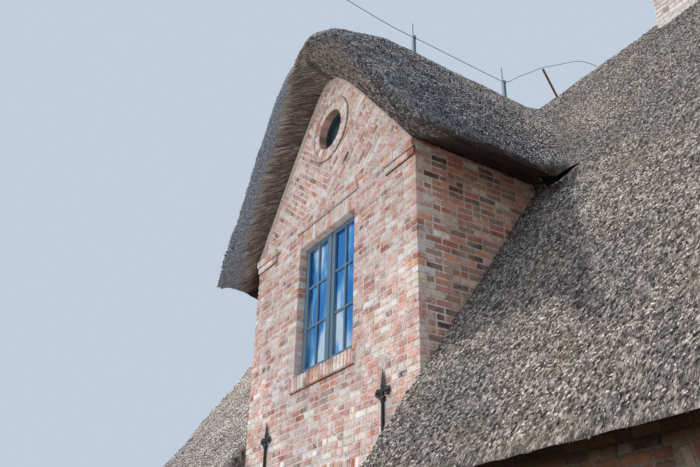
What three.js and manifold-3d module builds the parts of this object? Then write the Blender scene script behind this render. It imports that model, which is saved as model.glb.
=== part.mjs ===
// Thatched brick cottage with a gabled dormer front.
// Millimetres, +Z up, front towards -Y, origin at the middle of the ground-level footprint.

import * as THREE from 'three';
import { mergeVertices } from 'three/addons/utils/BufferGeometryUtils.js';
import Module from 'manifold-3d';

const wasm = await Module();
wasm.setup();

// Driving sizes.
const GAP = 0.3;
const HALF_DEPTH = 4704;
const WALL = 360;
const LEFT_END = -5200;
const RIGHT_END = 6600;
const GABLE_HALF = 1877;
const RECESS = 336;
const PITCH = 1.43;
const RIDGE_APEX = 9709;
const RIDGE_ROUND = 110;
const COAT_DROP = 523;
const EAVE_OUT = 546;
const DORMER_APEX = 9426;
const DORMER_FALL = 0.043;
const DORMER_PITCH = 1.455;
const DORMER_EAVE = 2505;
const DORMER_FRONT = -4815;
const RAKE_APEX = 8484;
const RAKE_PITCH = 1.28;
const RAKE_ROUND = 300;
const EAVE_LOW = 5713;
const FLOOR_TOP = 150;
const LOFT_LOW = 2760;
const LOFT_TOP = 2960;

// Sizes worked out from them.
const FRONT_Y = -HALF_DEPTH;
const GABLE_Y = FRONT_Y + RECESS;
const COAT_APEX = RIDGE_APEX - COAT_DROP;
const EAVE_Y = HALF_DEPTH + EAVE_OUT;
const VALLEY = 275;
const SHOULDER = RAKE_APEX - RAKE_PITCH * Math.hypot(GABLE_HALF, RAKE_ROUND);
const VERGE_OUT_RIDGE = 250;
const VERGE_FLARE = 0.11;
const MIDDLE_X = (LEFT_END + RIGHT_END) / 2;
const WALL_TOP = COAT_APEX - PITCH * HALF_DEPTH - GAP;

// Colours.
const brick = () => new THREE.MeshStandardMaterial({ color: 0xa9745a, roughness: 0.9, metalness: 0 });
const paleBrick = () => new THREE.MeshStandardMaterial({ color: 0xc9a594, roughness: 0.9, metalness: 0 });
const thatch = () => new THREE.MeshStandardMaterial({ color: 0x7a6c58, roughness: 1, metalness: 0 });
const darkThatch = () => new THREE.MeshStandardMaterial({ color: 0x62584a, roughness: 1, metalness: 0 });
const paint = () => new THREE.MeshStandardMaterial({ color: 0x50697f, roughness: 0.45, metalness: 0 });
const glass = () => new THREE.MeshStandardMaterial({ color: 0x8fa3b3, roughness: 0.08, metalness: 0 });
const iron = () => new THREE.MeshStandardMaterial({ color: 0x1c1d20, roughness: 0.6, metalness: 0.8 });
const rust = () => new THREE.MeshStandardMaterial({ color: 0x7a4a35, roughness: 0.8, metalness: 0.5 });
const boards = () => new THREE.MeshStandardMaterial({ color: 0x8a7355, roughness: 0.8, metalness: 0 });
const stone = () => new THREE.MeshStandardMaterial({ color: 0x8f8a82, roughness: 0.85, metalness: 0 });

const cottage = new THREE.Group();
cottage.name = 'thatched_cottage';

// Puts one named solid in the group, moved so the footprint's middle is the origin.
function add(name, geometry, material) {
  geometry.translate(-MIDDLE_X, 0, 0);
  const mesh = new THREE.Mesh(geometry, material);
  mesh.name = name;
  cottage.add(mesh);
  return mesh;
}

// Turns a geometry into a solid that can be cut or joined.
function solid(geometry) {
  const bare = geometry.clone();
  bare.deleteAttribute('normal');
  bare.deleteAttribute('uv');
  const joined = mergeVertices(bare, 0.001);
  const vertProperties = new Float32Array(joined.attributes.position.array);
  const triVerts = new Uint32Array(joined.index.array);
  return new wasm.Manifold(new wasm.Mesh({ numProp: 3, vertProperties, triVerts }));
}

// Turns a cut or joined solid back into a geometry.
function shaped(body) {
  const mesh = body.getMesh();
  const geometry = new THREE.BufferGeometry();
  geometry.setAttribute('position', new THREE.BufferAttribute(new Float32Array(mesh.vertProperties), 3));
  geometry.setIndex(new THREE.BufferAttribute(new Uint32Array(mesh.triVerts), 1));
  const flat = geometry.toNonIndexed();
  flat.computeVertexNormals();
  return flat;
}

// A box between two corners.
function block(x0, x1, y0, y1, z0, z1) {
  const box = new THREE.BoxGeometry(x1 - x0, y1 - y0, z1 - z0);
  box.translate((x0 + x1) / 2, (y0 + y1) / 2, (z0 + z1) / 2);
  return box;
}

// Height of the main roof's top at a distance from the ridge.
function mainTop(y) {
  return RIDGE_APEX - PITCH * Math.hypot(y, RIDGE_ROUND);
}

// Height of the dormer roof's top: its crest falls a little towards the main ridge and
// droops over the front, and the slopes swell a little beside the front edge.
function dormerTop(x, y) {
  const across = Math.abs(x);
  const crest = DORMER_APEX - DORMER_FALL * Math.max(0, y + 3360);
  const forward = Math.max(0, (-y - 3400) / (-DORMER_FRONT - 3400)) ** 2.3;
  const crown = Math.max(0, 1 - (across / 950) ** 2) ** 2;
  const swell = Math.sin(Math.min(1, across / DORMER_EAVE) * Math.PI);
  const slope = crest - DORMER_PITCH * Math.hypot(across, 147);
  return slope + 0.02 * across - 530 * forward * crown + (30 + 95 * forward) * swell;
}

// Larger of two heights with a swept valley between them.
function swept(a, b, reach) {
  if (reach < 1) {
    return Math.max(a, b);
  }
  const near = Math.max(0, reach - Math.abs(a - b)) / reach;
  return Math.max(a, b) + (near * near * reach) / 4;
}

// Reach of the swept valley, which widens down the slope.
function reachAt(x) {
  return 200 + 700 * Math.min(1, Math.abs(x) / 1200);
}

// Height of the thatch's top over the whole front.
function roofTop(x, y) {
  return swept(mainTop(y), dormerTop(x, y), reachAt(x));
}

// Distances from the gable's middle at which wall and thatch share their bends.
const RAKE_STEPS = [GAP / 2, 60, 160, 320, 560, 900, 1300, GABLE_HALF];

// Height of the dormer thatch's underside, which rests on the rounded gable wall.
function rakeUnder(x) {
  return RAKE_APEX - RAKE_PITCH * Math.hypot(x, RAKE_ROUND);
}

// A box whose points are moved by a rule of three numbers from 0 to 1.
function bentBox(us, vs, place) {
  const box = new THREE.BoxGeometry(1, 1, 1, us.length - 1, vs.length - 1, 1);
  box.translate(0.5, 0.5, 0.5);
  const points = box.attributes.position;
  for (let i = 0; i < points.count; i += 1) {
    const u = us[Math.round(points.getX(i) * (us.length - 1))];
    const v = vs[Math.round(points.getY(i) * (vs.length - 1))];
    const [x, y, z] = place(u, v, points.getZ(i) > 0.5);
    points.setXYZ(i, x, y, z);
  }
  const flat = box.toNonIndexed();
  flat.deleteAttribute('normal');
  flat.deleteAttribute('uv');
  flat.computeVertexNormals();
  return flat;
}

// Evenly spaced numbers from one value to another.
function steps(from, to, count) {
  const list = [];
  for (let i = 0; i <= count; i += 1) {
    list.push(from + ((to - from) * i) / count);
  }
  return list;
}

// Plan edge of the main thatch at its flared end.
function vergeX(side, y) {
  const end = side < 0 ? LEFT_END : RIGHT_END;
  return end + side * (VERGE_OUT_RIDGE + VERGE_FLARE * Math.abs(y));
}

// Where the front thatch stops beside the dormer.
function dormerSide(y) {
  return Math.min(GABLE_HALF, Math.max(0, Math.abs(y) - VALLEY)) + GAP;
}

// Front thatch on one side of the dormer, from the eave up to the ridge.
function frontCoat(side) {
  const rows = [0, 0.08, 0.2, 0.34, 0.46];
  const ys = rows.map((r) => -EAVE_Y + r * EAVE_Y);
  const bend = -(GABLE_HALF + VALLEY);
  const upper = [bend, ...steps(bend, -VALLEY, 7).slice(1), -110, -GAP / 2];
  const allY = [...ys, ...upper];
  return bentBox(steps(0, 1, 10), allY, (u, y, top) => {
    const inner = side * dormerSide(y);
    const outer = vergeX(side, y);
    const from = side < 0 ? outer : inner;
    const to = side < 0 ? inner : outer;
    const k = side < 0 ? 1 - (1 - u) * (1 - u) : u * u;
    const x = from + (to - from) * k;
    if (top) {
      return [x, y, mainTop(y)];
    }
    const yLow = Math.max(y, FRONT_Y + (y + EAVE_Y) * 0.001);
    return [x, y < FRONT_Y ? yLow : y, COAT_APEX - PITCH * Math.abs(y < FRONT_Y ? yLow : y)];
  });
}

// Rear thatch over its whole length.
function rearCoat(x0, x1, side0, side1) {
  const ys = [GAP / 2, 110, 260, 700, 1500, 2700, 4000, 4900, EAVE_Y];
  return bentBox(steps(0, 1, 4), ys, (u, y, top) => {
    const from = side0 ? vergeX(-1, y) : x0;
    const to = side1 ? vergeX(1, y) : x1;
    const x = from + (to - from) * u;
    if (top) {
      return [x, y, mainTop(y)];
    }
    const yLow = Math.min(y, HALF_DEPTH - (EAVE_Y - y) * 0.001);
    return [x, yLow, COAT_APEX - PITCH * yLow];
  });
}

// Underside of the dormer thatch: on the rake, rising to the front edge and falling to the eave.
function dormerUnder(a, y) {
  const ahead = Math.min(1, Math.max(0, (GABLE_Y - 30 - y) / (GABLE_Y - 30 - DORMER_FRONT)));
  if (a <= GABLE_HALF) {
    const low = rakeUnder(a);
    const share = 0.2 + 0.48 * Math.min(1, a / 900);
    return low + share * (dormerTop(a, DORMER_FRONT) - 90 - low) * ahead;
  }
  const out = (a - GABLE_HALF) / (DORMER_EAVE - GABLE_HALF);
  const low = SHOULDER + (EAVE_LOW - SHOULDER) * out;
  const front = dormerTop(a, DORMER_FRONT) - 90;
  const tilted = low + 0.68 * Math.max(0, front - low) * ahead * (1 - out);
  return Math.max(tilted, a > GABLE_HALF + 0.1 ? mainTop(y) + 2 : 0);
}

// One half of the dormer thatch, from its crest down to the eave.
function dormerCoat(side) {
  const across = [...RAKE_STEPS, GABLE_HALF + 0.2, 2030, 2200, 2350, DORMER_EAVE];
  const xs = side > 0 ? across : across.map((x) => -x).reverse();
  return bentBox(xs, [0, 0.03, 0.08, ...steps(0.17, 1, 9)], (x, v, top) => {
    const a = Math.abs(x);
    const rear = -(a + VALLEY + GAP + (a > GABLE_HALF ? 12 : 0));
    let y = DORMER_FRONT + (rear - DORMER_FRONT) * v;
    if (Math.abs(v - 0.17) < 0.001) {
      y = GABLE_Y - 30;
    }
    if (top) {
      const edge = Math.max(0, 1 - (y - DORMER_FRONT) / 220);
      return [x, y, roofTop(x, y) - 90 * edge * edge];
    }
    return [x, y, dormerUnder(a, y)];
  });
}

// The swept fill in the valley, lying on the main thatch beside the dormer.
// It runs out past the dormer's eave in a tail.
function valleyFill(side) {
  const across = [150, 400, 700, 1000, 1300, 1600, 1900, 2200, 2480, 2640, 2850, 3120];
  const xs = side > 0 ? across : across.map((x) => -x).reverse();
  return bentBox(xs, steps(0, 1, 4), (x, v, top) => {
    const a = Math.abs(x);
    const k = reachAt(a);
    const upper = -(a + VALLEY - (k - Math.sqrt(32 * k)) / PITCH);
    const tail = Math.max(0, a - 2480) / 640;
    const lower = Math.max(-(a + VALLEY - GAP), -(2750 + 156 * Math.sqrt(tail)));
    const y = lower + (upper - lower) * v;
    const low = mainTop(y) + 2;
    return [x, y, top ? Math.max(swept(mainTop(y), dormerTop(a, y), k), low + 6) : low];
  });
}

// A flat outline given depth along +Y from its outer face.
function standing(shape, y0, depth) {
  const body = new THREE.ExtrudeGeometry(shape, { depth, bevelEnabled: false, curveSegments: 8 });
  body.rotateX(Math.PI / 2);
  body.translate(0, y0 + depth, 0);
  return body;
}

// An outline pushed back from its outer face, with openings cut right through.
function wallXZ(outline, holes, y0, depth) {
  const shape = new THREE.Shape(outline.map(([x, z]) => new THREE.Vector2(x, z)));
  return pierced(shape, holes, y0, depth);
}
function pierced(shape, holes, y0, depth) {
  let wall = solid(standing(shape, y0, depth));
  for (const hole of holes) {
    wall = wall.subtract(solid(standing(new THREE.Shape(hole.getPoints()), y0 - 20, depth + 40)));
  }
  return shaped(wall);
}

// An opening with an arched head: middle x, half width, low z, spring z and rise.
function archHole(x, half, z0, z1, rise) {
  const points = [[x - half, z0], [x + half, z0], [x + half, z1]];
  if (rise > 0) {
    const radius = (half * half + rise * rise) / (2 * rise);
    const turn = Math.asin(half / radius);
    for (let i = 1; i < 8; i += 1) {
      const angle = turn - (2 * turn * i) / 8;
      points.push([x + radius * Math.sin(angle), z1 + rise - radius + radius * Math.cos(angle)]);
    }
  }
  points.push([x - half, z1]);
  return new THREE.Path(points.map(([px, pz]) => new THREE.Vector2(px, pz)));
}

// A round opening.
function roundHole(x, z, radius, count) {
  const points = [];
  for (let i = 0; i < count; i += 1) {
    const angle = (2 * Math.PI * i) / count;
    points.push(new THREE.Vector2(x + radius * Math.cos(angle), z + radius * Math.sin(angle)));
  }
  return new THREE.Path(points);
}

// Window sizes: half width, sill, spring of the head and rise of the arch.
const LOWER = { half: 575, sill: 850, spring: 1990, rise: 75 };
const UPPER = { half: 670, sill: 4006, spring: 5772, rise: 0 };
const DOORWAY = { half: 900, sill: FLOOR_TOP, spring: 2620, rise: 55 };
const BACK_DOOR = { half: 500, sill: FLOOR_TOP, spring: 2150, rise: 60 };
const OCULUS = { z: 7282, radius: 290 };

function holeOf(size, x) {
  return archHole(x, size.half, size.sill, size.spring, size.rise);
}

// Floors.
function slab(z0, z1) {
  const x0 = LEFT_END + WALL + GAP;
  const x1 = RIGHT_END - WALL - GAP;
  const y0 = FRONT_Y + WALL + GAP;
  const yGable = GABLE_Y + WALL + GAP;
  const y1 = HALF_DEPTH - WALL - GAP;
  const inner = GABLE_HALF;
  const shape = new THREE.Shape([
    new THREE.Vector2(x0, y0),
    new THREE.Vector2(-inner, y0),
    new THREE.Vector2(-inner, yGable),
    new THREE.Vector2(inner, yGable),
    new THREE.Vector2(inner, y0),
    new THREE.Vector2(x1, y0),
    new THREE.Vector2(x1, y1),
    new THREE.Vector2(x0, y1),
  ]);
  const plate = new THREE.ExtrudeGeometry(shape, { depth: z1 - z0, bevelEnabled: false });
  plate.translate(0, 0, z0);
  return plate;
}
add('ground_floor', slab(0, FLOOR_TOP), boards());
add('upper_floor', slab(LOFT_LOW, LOFT_TOP), boards());

// Slants the top of a wall that runs along the eave to follow the thatch.
function slantTop(wall) {
  const points = wall.attributes.position;
  for (let i = 0; i < points.count; i += 1) {
    if (points.getZ(i) > WALL_TOP - 1) {
      points.setZ(i, COAT_APEX - PITCH * Math.abs(points.getY(i)) - GAP);
    }
  }
  wall.computeVertexNormals();
  return wall;
}

// Front walls on each side of the recessed gable, and the rear wall.
const LEFT_WINDOW = (LEFT_END - GABLE_HALF) / 2;
const RIGHT_WINDOWS = [3200, 5320];
const REAR_WINDOWS = [-2900, 4300];
const REAR_DOOR = 700;
function eaveWall(x0, x1, y0, holes) {
  return slantTop(wallXZ([[x0, 0], [x1, 0], [x1, WALL_TOP], [x0, WALL_TOP]], holes, y0, WALL));
}
const inLeft = LEFT_END + WALL + GAP;
const inRight = RIGHT_END - WALL - GAP;
add('front_wall_left', eaveWall(inLeft, -GABLE_HALF - GAP, FRONT_Y, [holeOf(LOWER, LEFT_WINDOW)]), brick());
add(
  'front_wall_right',
  eaveWall(GABLE_HALF + GAP, inRight, FRONT_Y, RIGHT_WINDOWS.map((x) => holeOf(LOWER, x))),
  brick(),
);
const rearHoles = [...REAR_WINDOWS.map((x) => holeOf(LOWER, x)), holeOf(BACK_DOOR, REAR_DOOR)];
add('back_wall', eaveWall(inLeft, inRight, HALF_DEPTH - WALL, rearHoles), brick());

// End walls, drawn in plan depth and height, then turned to face along X.
const END_LOWER = { half: 575, sill: 850, spring: 1990, rise: 75 };
const END_UPPER = { half: 480, sill: 3900, spring: 5300, rise: 60 };
function endWall(x0) {
  const outline = [
    [-HALF_DEPTH, 0],
    [HALF_DEPTH, 0],
    [HALF_DEPTH, WALL_TOP],
    [0, COAT_APEX - GAP],
    [-HALF_DEPTH, WALL_TOP],
  ];
  const holes = [holeOf(END_LOWER, -1700), holeOf(END_LOWER, 1700), holeOf(END_UPPER, 0)];
  const wall = wallXZ(outline, holes, 0, WALL);
  wall.rotateZ(Math.PI / 2);
  wall.translate(x0 + WALL, 0, 0);
  return wall;
}
add('end_wall_left', endWall(LEFT_END), brick());
add('end_wall_right', endWall(RIGHT_END - WALL), brick());

// The gable wall with its kneelers, label course, sill and oculus ring in one piece.
function gableOutline() {
  const points = [[-GABLE_HALF, 0], [GABLE_HALF, 0]];
  const rake = [...RAKE_STEPS].reverse();
  for (const x of rake) {
    points.push([x, rakeUnder(x) - GAP]);
  }
  for (const x of [...rake].reverse()) {
    points.push([-x, rakeUnder(x) - GAP]);
  }
  return points;
}
const gableHoles = [
  holeOf(DOORWAY, 0),
  holeOf(UPPER, 0),
  roundHole(0, OCULUS.z, OCULUS.radius, 32),
];
let gable = solid(wallXZ(gableOutline(), gableHoles, GABLE_Y, WALL));
const trims = [];
for (const side of [-1, 1]) {
  const outer = side * GABLE_HALF;
  const inner = side * (GABLE_HALF - 550);
  const lo = Math.min(outer, inner);
  const hi = Math.max(outer, inner);
  trims.push(block(lo, hi, GABLE_Y - 25, GABLE_Y + 20, 5872, 5950));
  trims.push(block(lo, hi, GABLE_Y - 50, GABLE_Y + 20, 5950, SHOULDER - GAP - 10));
}
trims.push(block(-740, 740, GABLE_Y - 25, GABLE_Y + 20, 5995, 6060));
trims.push(block(-720, 720, GABLE_Y - 40, GABLE_Y + 20, 3846, 3978));
for (const trim of trims) {
  gable = gable.add(solid(trim));
}
const ringShape = new THREE.Shape(roundHole(0, OCULUS.z, 441, 32).getPoints());
const ring = pierced(ringShape, [roundHole(0, OCULUS.z, 400, 32)], GABLE_Y - 20, 40);
gable = gable.add(solid(ring));
add('gable_wall', shaped(gable), brick());

// Cheek walls beside the dormer, standing on the upper floor.
const CHEEK = 300;
const cheekBack = -(COAT_APEX - SHOULDER) / PITCH;
for (const side of [-1, 1]) {
  const x0 = side < 0 ? -GABLE_HALF : GABLE_HALF - CHEEK;
  const top = rakeUnder(GABLE_HALF) - GAP;
  const wall = block(x0, x0 + CHEEK, GABLE_Y + WALL + GAP, cheekBack, LOFT_TOP + GAP, top);
  add(side < 0 ? 'cheek_left' : 'cheek_right', wall, brick());
}

// Thatch.
add('thatch_front_left', frontCoat(-1), thatch());
add('thatch_front_right', frontCoat(1), thatch());

// The chimney straddles the main ridge.
const CHIMNEY = { x0: 2440, x1: 3067, y0: -318, y1: 309, top: 10450 };
add('thatch_back_left', rearCoat(0, MIDDLE_X - GAP / 2, true, false), thatch());
add('thatch_back_right', rearCoat(MIDDLE_X + GAP / 2, 0, false, true), thatch());
add('thatch_valley_left', valleyFill(-1), thatch());
add('thatch_valley_right', valleyFill(1), thatch());
add('thatch_dormer_left', dormerCoat(-1), darkThatch());
add('thatch_dormer_right', dormerCoat(1), darkThatch());

let stack = solid(block(CHIMNEY.x0, CHIMNEY.x1, CHIMNEY.y0, CHIMNEY.y1, LOFT_TOP + GAP, CHIMNEY.top));
const crown = block(
  CHIMNEY.x0 - 50,
  CHIMNEY.x1 + 50,
  CHIMNEY.y0 - 50,
  CHIMNEY.y1 + 50,
  CHIMNEY.top - 220,
  CHIMNEY.top - 70,
);
stack = stack.add(solid(crown));
const flueX = (CHIMNEY.x0 + CHIMNEY.x1) / 2;
const flueY = (CHIMNEY.y0 + CHIMNEY.y1) / 2;
const flue = block(flueX - 150, flueX + 150, flueY - 150, flueY + 150, CHIMNEY.top - 900, CHIMNEY.top + 10);
stack = stack.subtract(solid(flue));
add('chimney_stack', shaped(stack), paleBrick());

// A window frame with bars, drawn facing -Y around x = 0, then placed.
// size gives the opening; cols and rows the panes in each of two casements.
function framePoints(size, inset) {
  const hole = archHole(0, size.half - inset, size.sill + inset, size.spring - (size.rise ? 0 : inset), size.rise);
  return hole.getPoints();
}
function windowFrame(size, cols, rows) {
  const shape = new THREE.Shape(framePoints(size, GAP));
  const panes = [];
  const side = 110;
  const middle = 90;
  const bar = 28;
  const headZ = size.spring - 70;
  const footZ = size.sill + 120;
  const leaf = size.half - side - middle;
  for (const s of [-1, 1]) {
    for (let c = 0; c < cols; c += 1) {
      for (let r = 0; r < rows; r += 1) {
        const w = (leaf - bar * (cols - 1)) / cols;
        const h = (headZ - footZ - bar * (rows - 1)) / rows;
        const from = middle + c * (w + bar);
        const x0 = s > 0 ? from : -from - w;
        const z0 = footZ + r * (h + bar);
        panes.push(archHole(x0 + w / 2, w / 2, z0, z0 + h, 0));
      }
    }
  }
  return pierced(shape, panes, 100, 60);
}
function windowGlass(size) {
  return block(-size.half + 60, size.half - 60, 160 + GAP, 168, size.sill + 70, size.spring - 20);
}
// Adds a frame and its glass, turned to face outwards and moved to the wall.
function addWindow(name, size, cols, rows, turn, x, y) {
  const frame = windowFrame(size, cols, rows);
  const sheet = windowGlass(size);
  for (const piece of [frame, sheet]) {
    piece.rotateZ(turn);
    piece.translate(x, y, 0);
  }
  add(`${name}_frame`, frame, paint());
  add(`${name}_glass`, sheet, glass());
}
addWindow('gable_window', UPPER, 2, 3, 0, 0, GABLE_Y);
addWindow('front_window_left', LOWER, 2, 2, 0, LEFT_WINDOW, FRONT_Y);
addWindow('front_window_middle', LOWER, 2, 2, 0, RIGHT_WINDOWS[0], FRONT_Y);
addWindow('front_window_right', LOWER, 2, 2, 0, RIGHT_WINDOWS[1], FRONT_Y);
addWindow('back_window_left', LOWER, 2, 2, Math.PI, REAR_WINDOWS[1], HALF_DEPTH);
addWindow('back_window_right', LOWER, 2, 2, Math.PI, REAR_WINDOWS[0], HALF_DEPTH);
addWindow('left_end_window_front', END_LOWER, 2, 2, -Math.PI / 2, LEFT_END, -1700);
addWindow('left_end_window_back', END_LOWER, 2, 2, -Math.PI / 2, LEFT_END, 1700);
addWindow('left_end_window_upper', END_UPPER, 1, 3, -Math.PI / 2, LEFT_END, 0);
addWindow('right_end_window_front', END_LOWER, 2, 2, Math.PI / 2, RIGHT_END, -1700);
addWindow('right_end_window_back', END_LOWER, 2, 2, Math.PI / 2, RIGHT_END, 1700);
addWindow('right_end_window_upper', END_UPPER, 1, 3, Math.PI / 2, RIGHT_END, 0);

// Round window: a ring frame and its glass.
const roundShape = new THREE.Shape(roundHole(0, OCULUS.z, OCULUS.radius - GAP, 32).getPoints());
const roundLight = roundHole(0, OCULUS.z, OCULUS.radius - 38, 32);
add('oculus_frame', pierced(roundShape, [roundLight], GABLE_Y + 100, 50), paint());
const roundGlass = new THREE.CylinderGeometry(OCULUS.radius - 10, OCULUS.radius - 10, 8, 32);
roundGlass.translate(0, GABLE_Y + 150 + GAP + 4, OCULUS.z);
add('oculus_glass', roundGlass, glass());

// Entrance: frame with a glazed head, two leaves and a step.
const LEAF_TOP = 2200;
const DOOR_SIDE = 80;
const entrance = new THREE.Shape(framePoints(DOORWAY, GAP));
const leafHalf = DOORWAY.half - DOOR_SIDE;
const lights = [archHole(0, leafHalf, FLOOR_TOP + 30, LEAF_TOP, 0)];
for (const x of [-1, 0, 1]) {
  const w = (2 * leafHalf - 2 * 40) / 3;
  lights.push(archHole(x * (w + 40), w / 2, LEAF_TOP + 80, DOORWAY.spring - 30, 0));
}
add('entrance_frame', pierced(entrance, lights, GABLE_Y + 130, 90), paint());
const fanlight = block(
  -leafHalf - 20,
  leafHalf + 20,
  GABLE_Y + 220 + GAP,
  GABLE_Y + 228,
  LEAF_TOP + 60,
  DOORWAY.spring - 10,
);
add('fanlight_glass', fanlight, glass());
// A leaf with sunk panels on its outer face.
function doorLeaf(x0, x1, y0, z0, z1, rows) {
  let leaf = solid(block(x0, x1, y0, y0 + 54, z0, z1));
  const edge = 110;
  const height = (z1 - z0 - edge * (rows.length + 1)) / rows.reduce((a, b) => a + b, 0);
  let z = z0 + edge;
  for (const share of rows) {
    leaf = leaf.subtract(solid(block(x0 + edge, x1 - edge, y0 - 5, y0 + 18, z, z + share * height)));
    z += share * height + edge;
  }
  return leaf;
}
const leafY = GABLE_Y + 148;
const leafZ = FLOOR_TOP + 30 + GAP;
add('door_leaf_left', shaped(doorLeaf(-leafHalf + GAP, -2, leafY, leafZ, LEAF_TOP - 3, [1, 1.4])), paint());
add('door_leaf_right', shaped(doorLeaf(2, leafHalf - GAP, leafY, leafZ, LEAF_TOP - 3, [1, 1.4])), paint());
add('door_step', block(-1000, 1000, GABLE_Y - 330, GABLE_Y - GAP, 0, FLOOR_TOP), stone());
const rearLeaf = standing(new THREE.Shape(framePoints(BACK_DOOR, GAP)), 100, 60);
rearLeaf.rotateZ(Math.PI);
rearLeaf.translate(REAR_DOOR, HALF_DEPTH, 0);
add('back_door', rearLeaf, paint());

// Wall anchors: a pointed leaf, two lobes, a collar and a shank in one outline.
function anchor() {
  const s = new THREE.Shape();
  s.moveTo(-22, 2930);
  s.lineTo(22, 2930);
  s.lineTo(22, 3300);
  s.lineTo(60, 3310);
  s.lineTo(60, 3350);
  s.quadraticCurveTo(150, 3310, 150, 3400);
  s.quadraticCurveTo(145, 3475, 85, 3460);
  s.quadraticCurveTo(60, 3420, 48, 3400);
  s.quadraticCurveTo(75, 3500, 0, 3632);
  s.quadraticCurveTo(-75, 3500, -48, 3400);
  s.quadraticCurveTo(-60, 3420, -85, 3460);
  s.quadraticCurveTo(-145, 3475, -150, 3400);
  s.quadraticCurveTo(-150, 3310, -60, 3350);
  s.lineTo(-60, 3310);
  s.lineTo(-22, 3300);
  s.closePath();
  return standing(s, GABLE_Y - GAP - 34, 34);
}
for (const side of [-1, 1]) {
  const body = anchor();
  body.translate(side * 1280, 0, 0);
  add(side < 0 ? 'wall_anchor_left' : 'wall_anchor_right', body, iron());
}

// The lightning rod's line along the crest, over the leaning pipe and down to the main ridge.
const POST = 25;
const ROD = 6;
const POSTS = [[-2940, 9610, 9880], [-1105, 9537, 9827]];
const beside = POST + ROD + GAP;
const line = new THREE.CurvePath();
const linePoints = [
  [beside + 4, -4200, 9680],
  [beside + 2, -3500, 9580],
  [beside, -3100, 9552],
  [beside, -2780, 9548],
  [beside, -2000, 9515],
  [beside, -1265, 9490],
  [beside, -1080, 9505],
  [87, -820, 9699],
  [123, -555, 9890],
  [158, -292, 10083],
  [455, -200, 9985],
  [769, -120, 9870],
  [980, -40, 9690],
  [1080, 0, 9540],
  [1120, 0, 9340],
].map(([x, y, z]) => new THREE.Vector3(x, y, z));
line.add(new THREE.CatmullRomCurve3(linePoints, false, 'centripetal'));
function round(radius, count) {
  return new THREE.Shape(roundHole(0, 0, radius, count).getPoints());
}
function along(radius, count) {
  const options = { steps: 60, bevelEnabled: false, extrudePath: line.curves[0] };
  return new THREE.ExtrudeGeometry(round(radius, count), options);
}

// Square posts let into the dormer's crest, each with a clamp round the line.
function post(y, top, rod) {
  const foot = roofTop(0, y) - 220;
  let body = solid(block(-POST, POST, y - POST, y + POST, foot, top));
  body = body.add(solid(block(-POST, -POST + 14, y - 7, y + 7, top - 20, rod)));
  body = body.add(solid(block(POST - 5, POST + 24, y - 14, y + 14, top - 70, top - 20)));
  return shaped(body.subtract(solid(along(ROD + GAP, 8))));
}
POSTS.forEach(([y, top, rod], i) => {
  add(i === 0 ? 'conductor_post_front' : 'conductor_post_back', post(y, top, rod), paint());
});
add('ridge_wire', along(ROD, 8), iron());

// The pipe leans forward out of the ridge.
function leaningPipe(radius, length, count) {
  const body = new THREE.CylinderGeometry(radius, radius, length, count);
  body.rotateX(Math.PI / 2);
  body.rotateX(PIPE.lean);
  body.translate(PIPE.x, PIPE.y, PIPE.z);
  return body;
}
const PIPE = { x: 151, y: -105, z: 9723, lean: 0.51, radius: 20, length: 760 };
add('lean_pipe', leaningPipe(PIPE.radius, PIPE.length, 16), rust());

// Cuts the thatch clear of everything that is let into it.
function clear(name, cutters) {
  const mesh = cottage.getObjectByName(name);
  let body = solid(mesh.geometry);
  for (const cutter of cutters) {
    const tool = cutter.clone();
    tool.translate(-MIDDLE_X, 0, 0);
    body = body.subtract(solid(tool));
  }
  mesh.geometry = shaped(body);
}
const stackHole = block(
  CHIMNEY.x0 - GAP,
  CHIMNEY.x1 + GAP,
  CHIMNEY.y0 - GAP,
  CHIMNEY.y1 + GAP,
  8000,
  10000,
);
const postHoles = POSTS.map(([y]) => {
  const foot = roofTop(0, y) - 220 - GAP;
  const reach = POST + GAP;
  return block(-reach, reach, y - reach, y + reach, foot, foot + 600);
});
const wireHole = along(ROD + GAP, 8);
const pipeHole = leaningPipe(PIPE.radius + GAP, PIPE.length + 2 * GAP, 16);
clear('thatch_front_right', [stackHole, wireHole, pipeHole]);
clear('thatch_back_left', [pipeHole]);
clear('thatch_back_right', [stackHole, wireHole]);
clear('thatch_front_left', postHoles);
clear('thatch_dormer_left', postHoles);
clear('thatch_dormer_right', [...postHoles, wireHole]);

export default cottage;
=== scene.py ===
# %% [markdown]
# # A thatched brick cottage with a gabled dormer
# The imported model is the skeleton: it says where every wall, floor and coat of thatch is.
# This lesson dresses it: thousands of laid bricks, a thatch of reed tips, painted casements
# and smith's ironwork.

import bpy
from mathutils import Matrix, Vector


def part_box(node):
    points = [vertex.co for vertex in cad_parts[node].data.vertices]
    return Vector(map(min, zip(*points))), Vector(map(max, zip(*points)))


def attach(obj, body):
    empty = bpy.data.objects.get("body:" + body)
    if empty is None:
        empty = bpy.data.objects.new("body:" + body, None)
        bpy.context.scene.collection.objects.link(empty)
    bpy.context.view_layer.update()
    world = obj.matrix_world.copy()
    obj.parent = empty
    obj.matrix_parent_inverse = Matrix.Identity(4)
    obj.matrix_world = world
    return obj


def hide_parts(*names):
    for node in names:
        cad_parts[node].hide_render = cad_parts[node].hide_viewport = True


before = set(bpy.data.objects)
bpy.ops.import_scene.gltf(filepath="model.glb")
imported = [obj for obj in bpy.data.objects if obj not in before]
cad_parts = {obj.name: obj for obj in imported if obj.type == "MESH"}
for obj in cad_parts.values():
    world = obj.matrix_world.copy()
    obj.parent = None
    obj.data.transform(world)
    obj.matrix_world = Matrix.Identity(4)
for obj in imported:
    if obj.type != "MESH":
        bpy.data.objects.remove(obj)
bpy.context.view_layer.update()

# %% [markdown]
# A few measures carry the lesson: where the walls stand and how the roofs rise. They are the
# CAD model's own, so both models agree. A box of a node could be measured instead, but a box
# says nothing of a slope or of a rounded top, so they are written down once, here.

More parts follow.
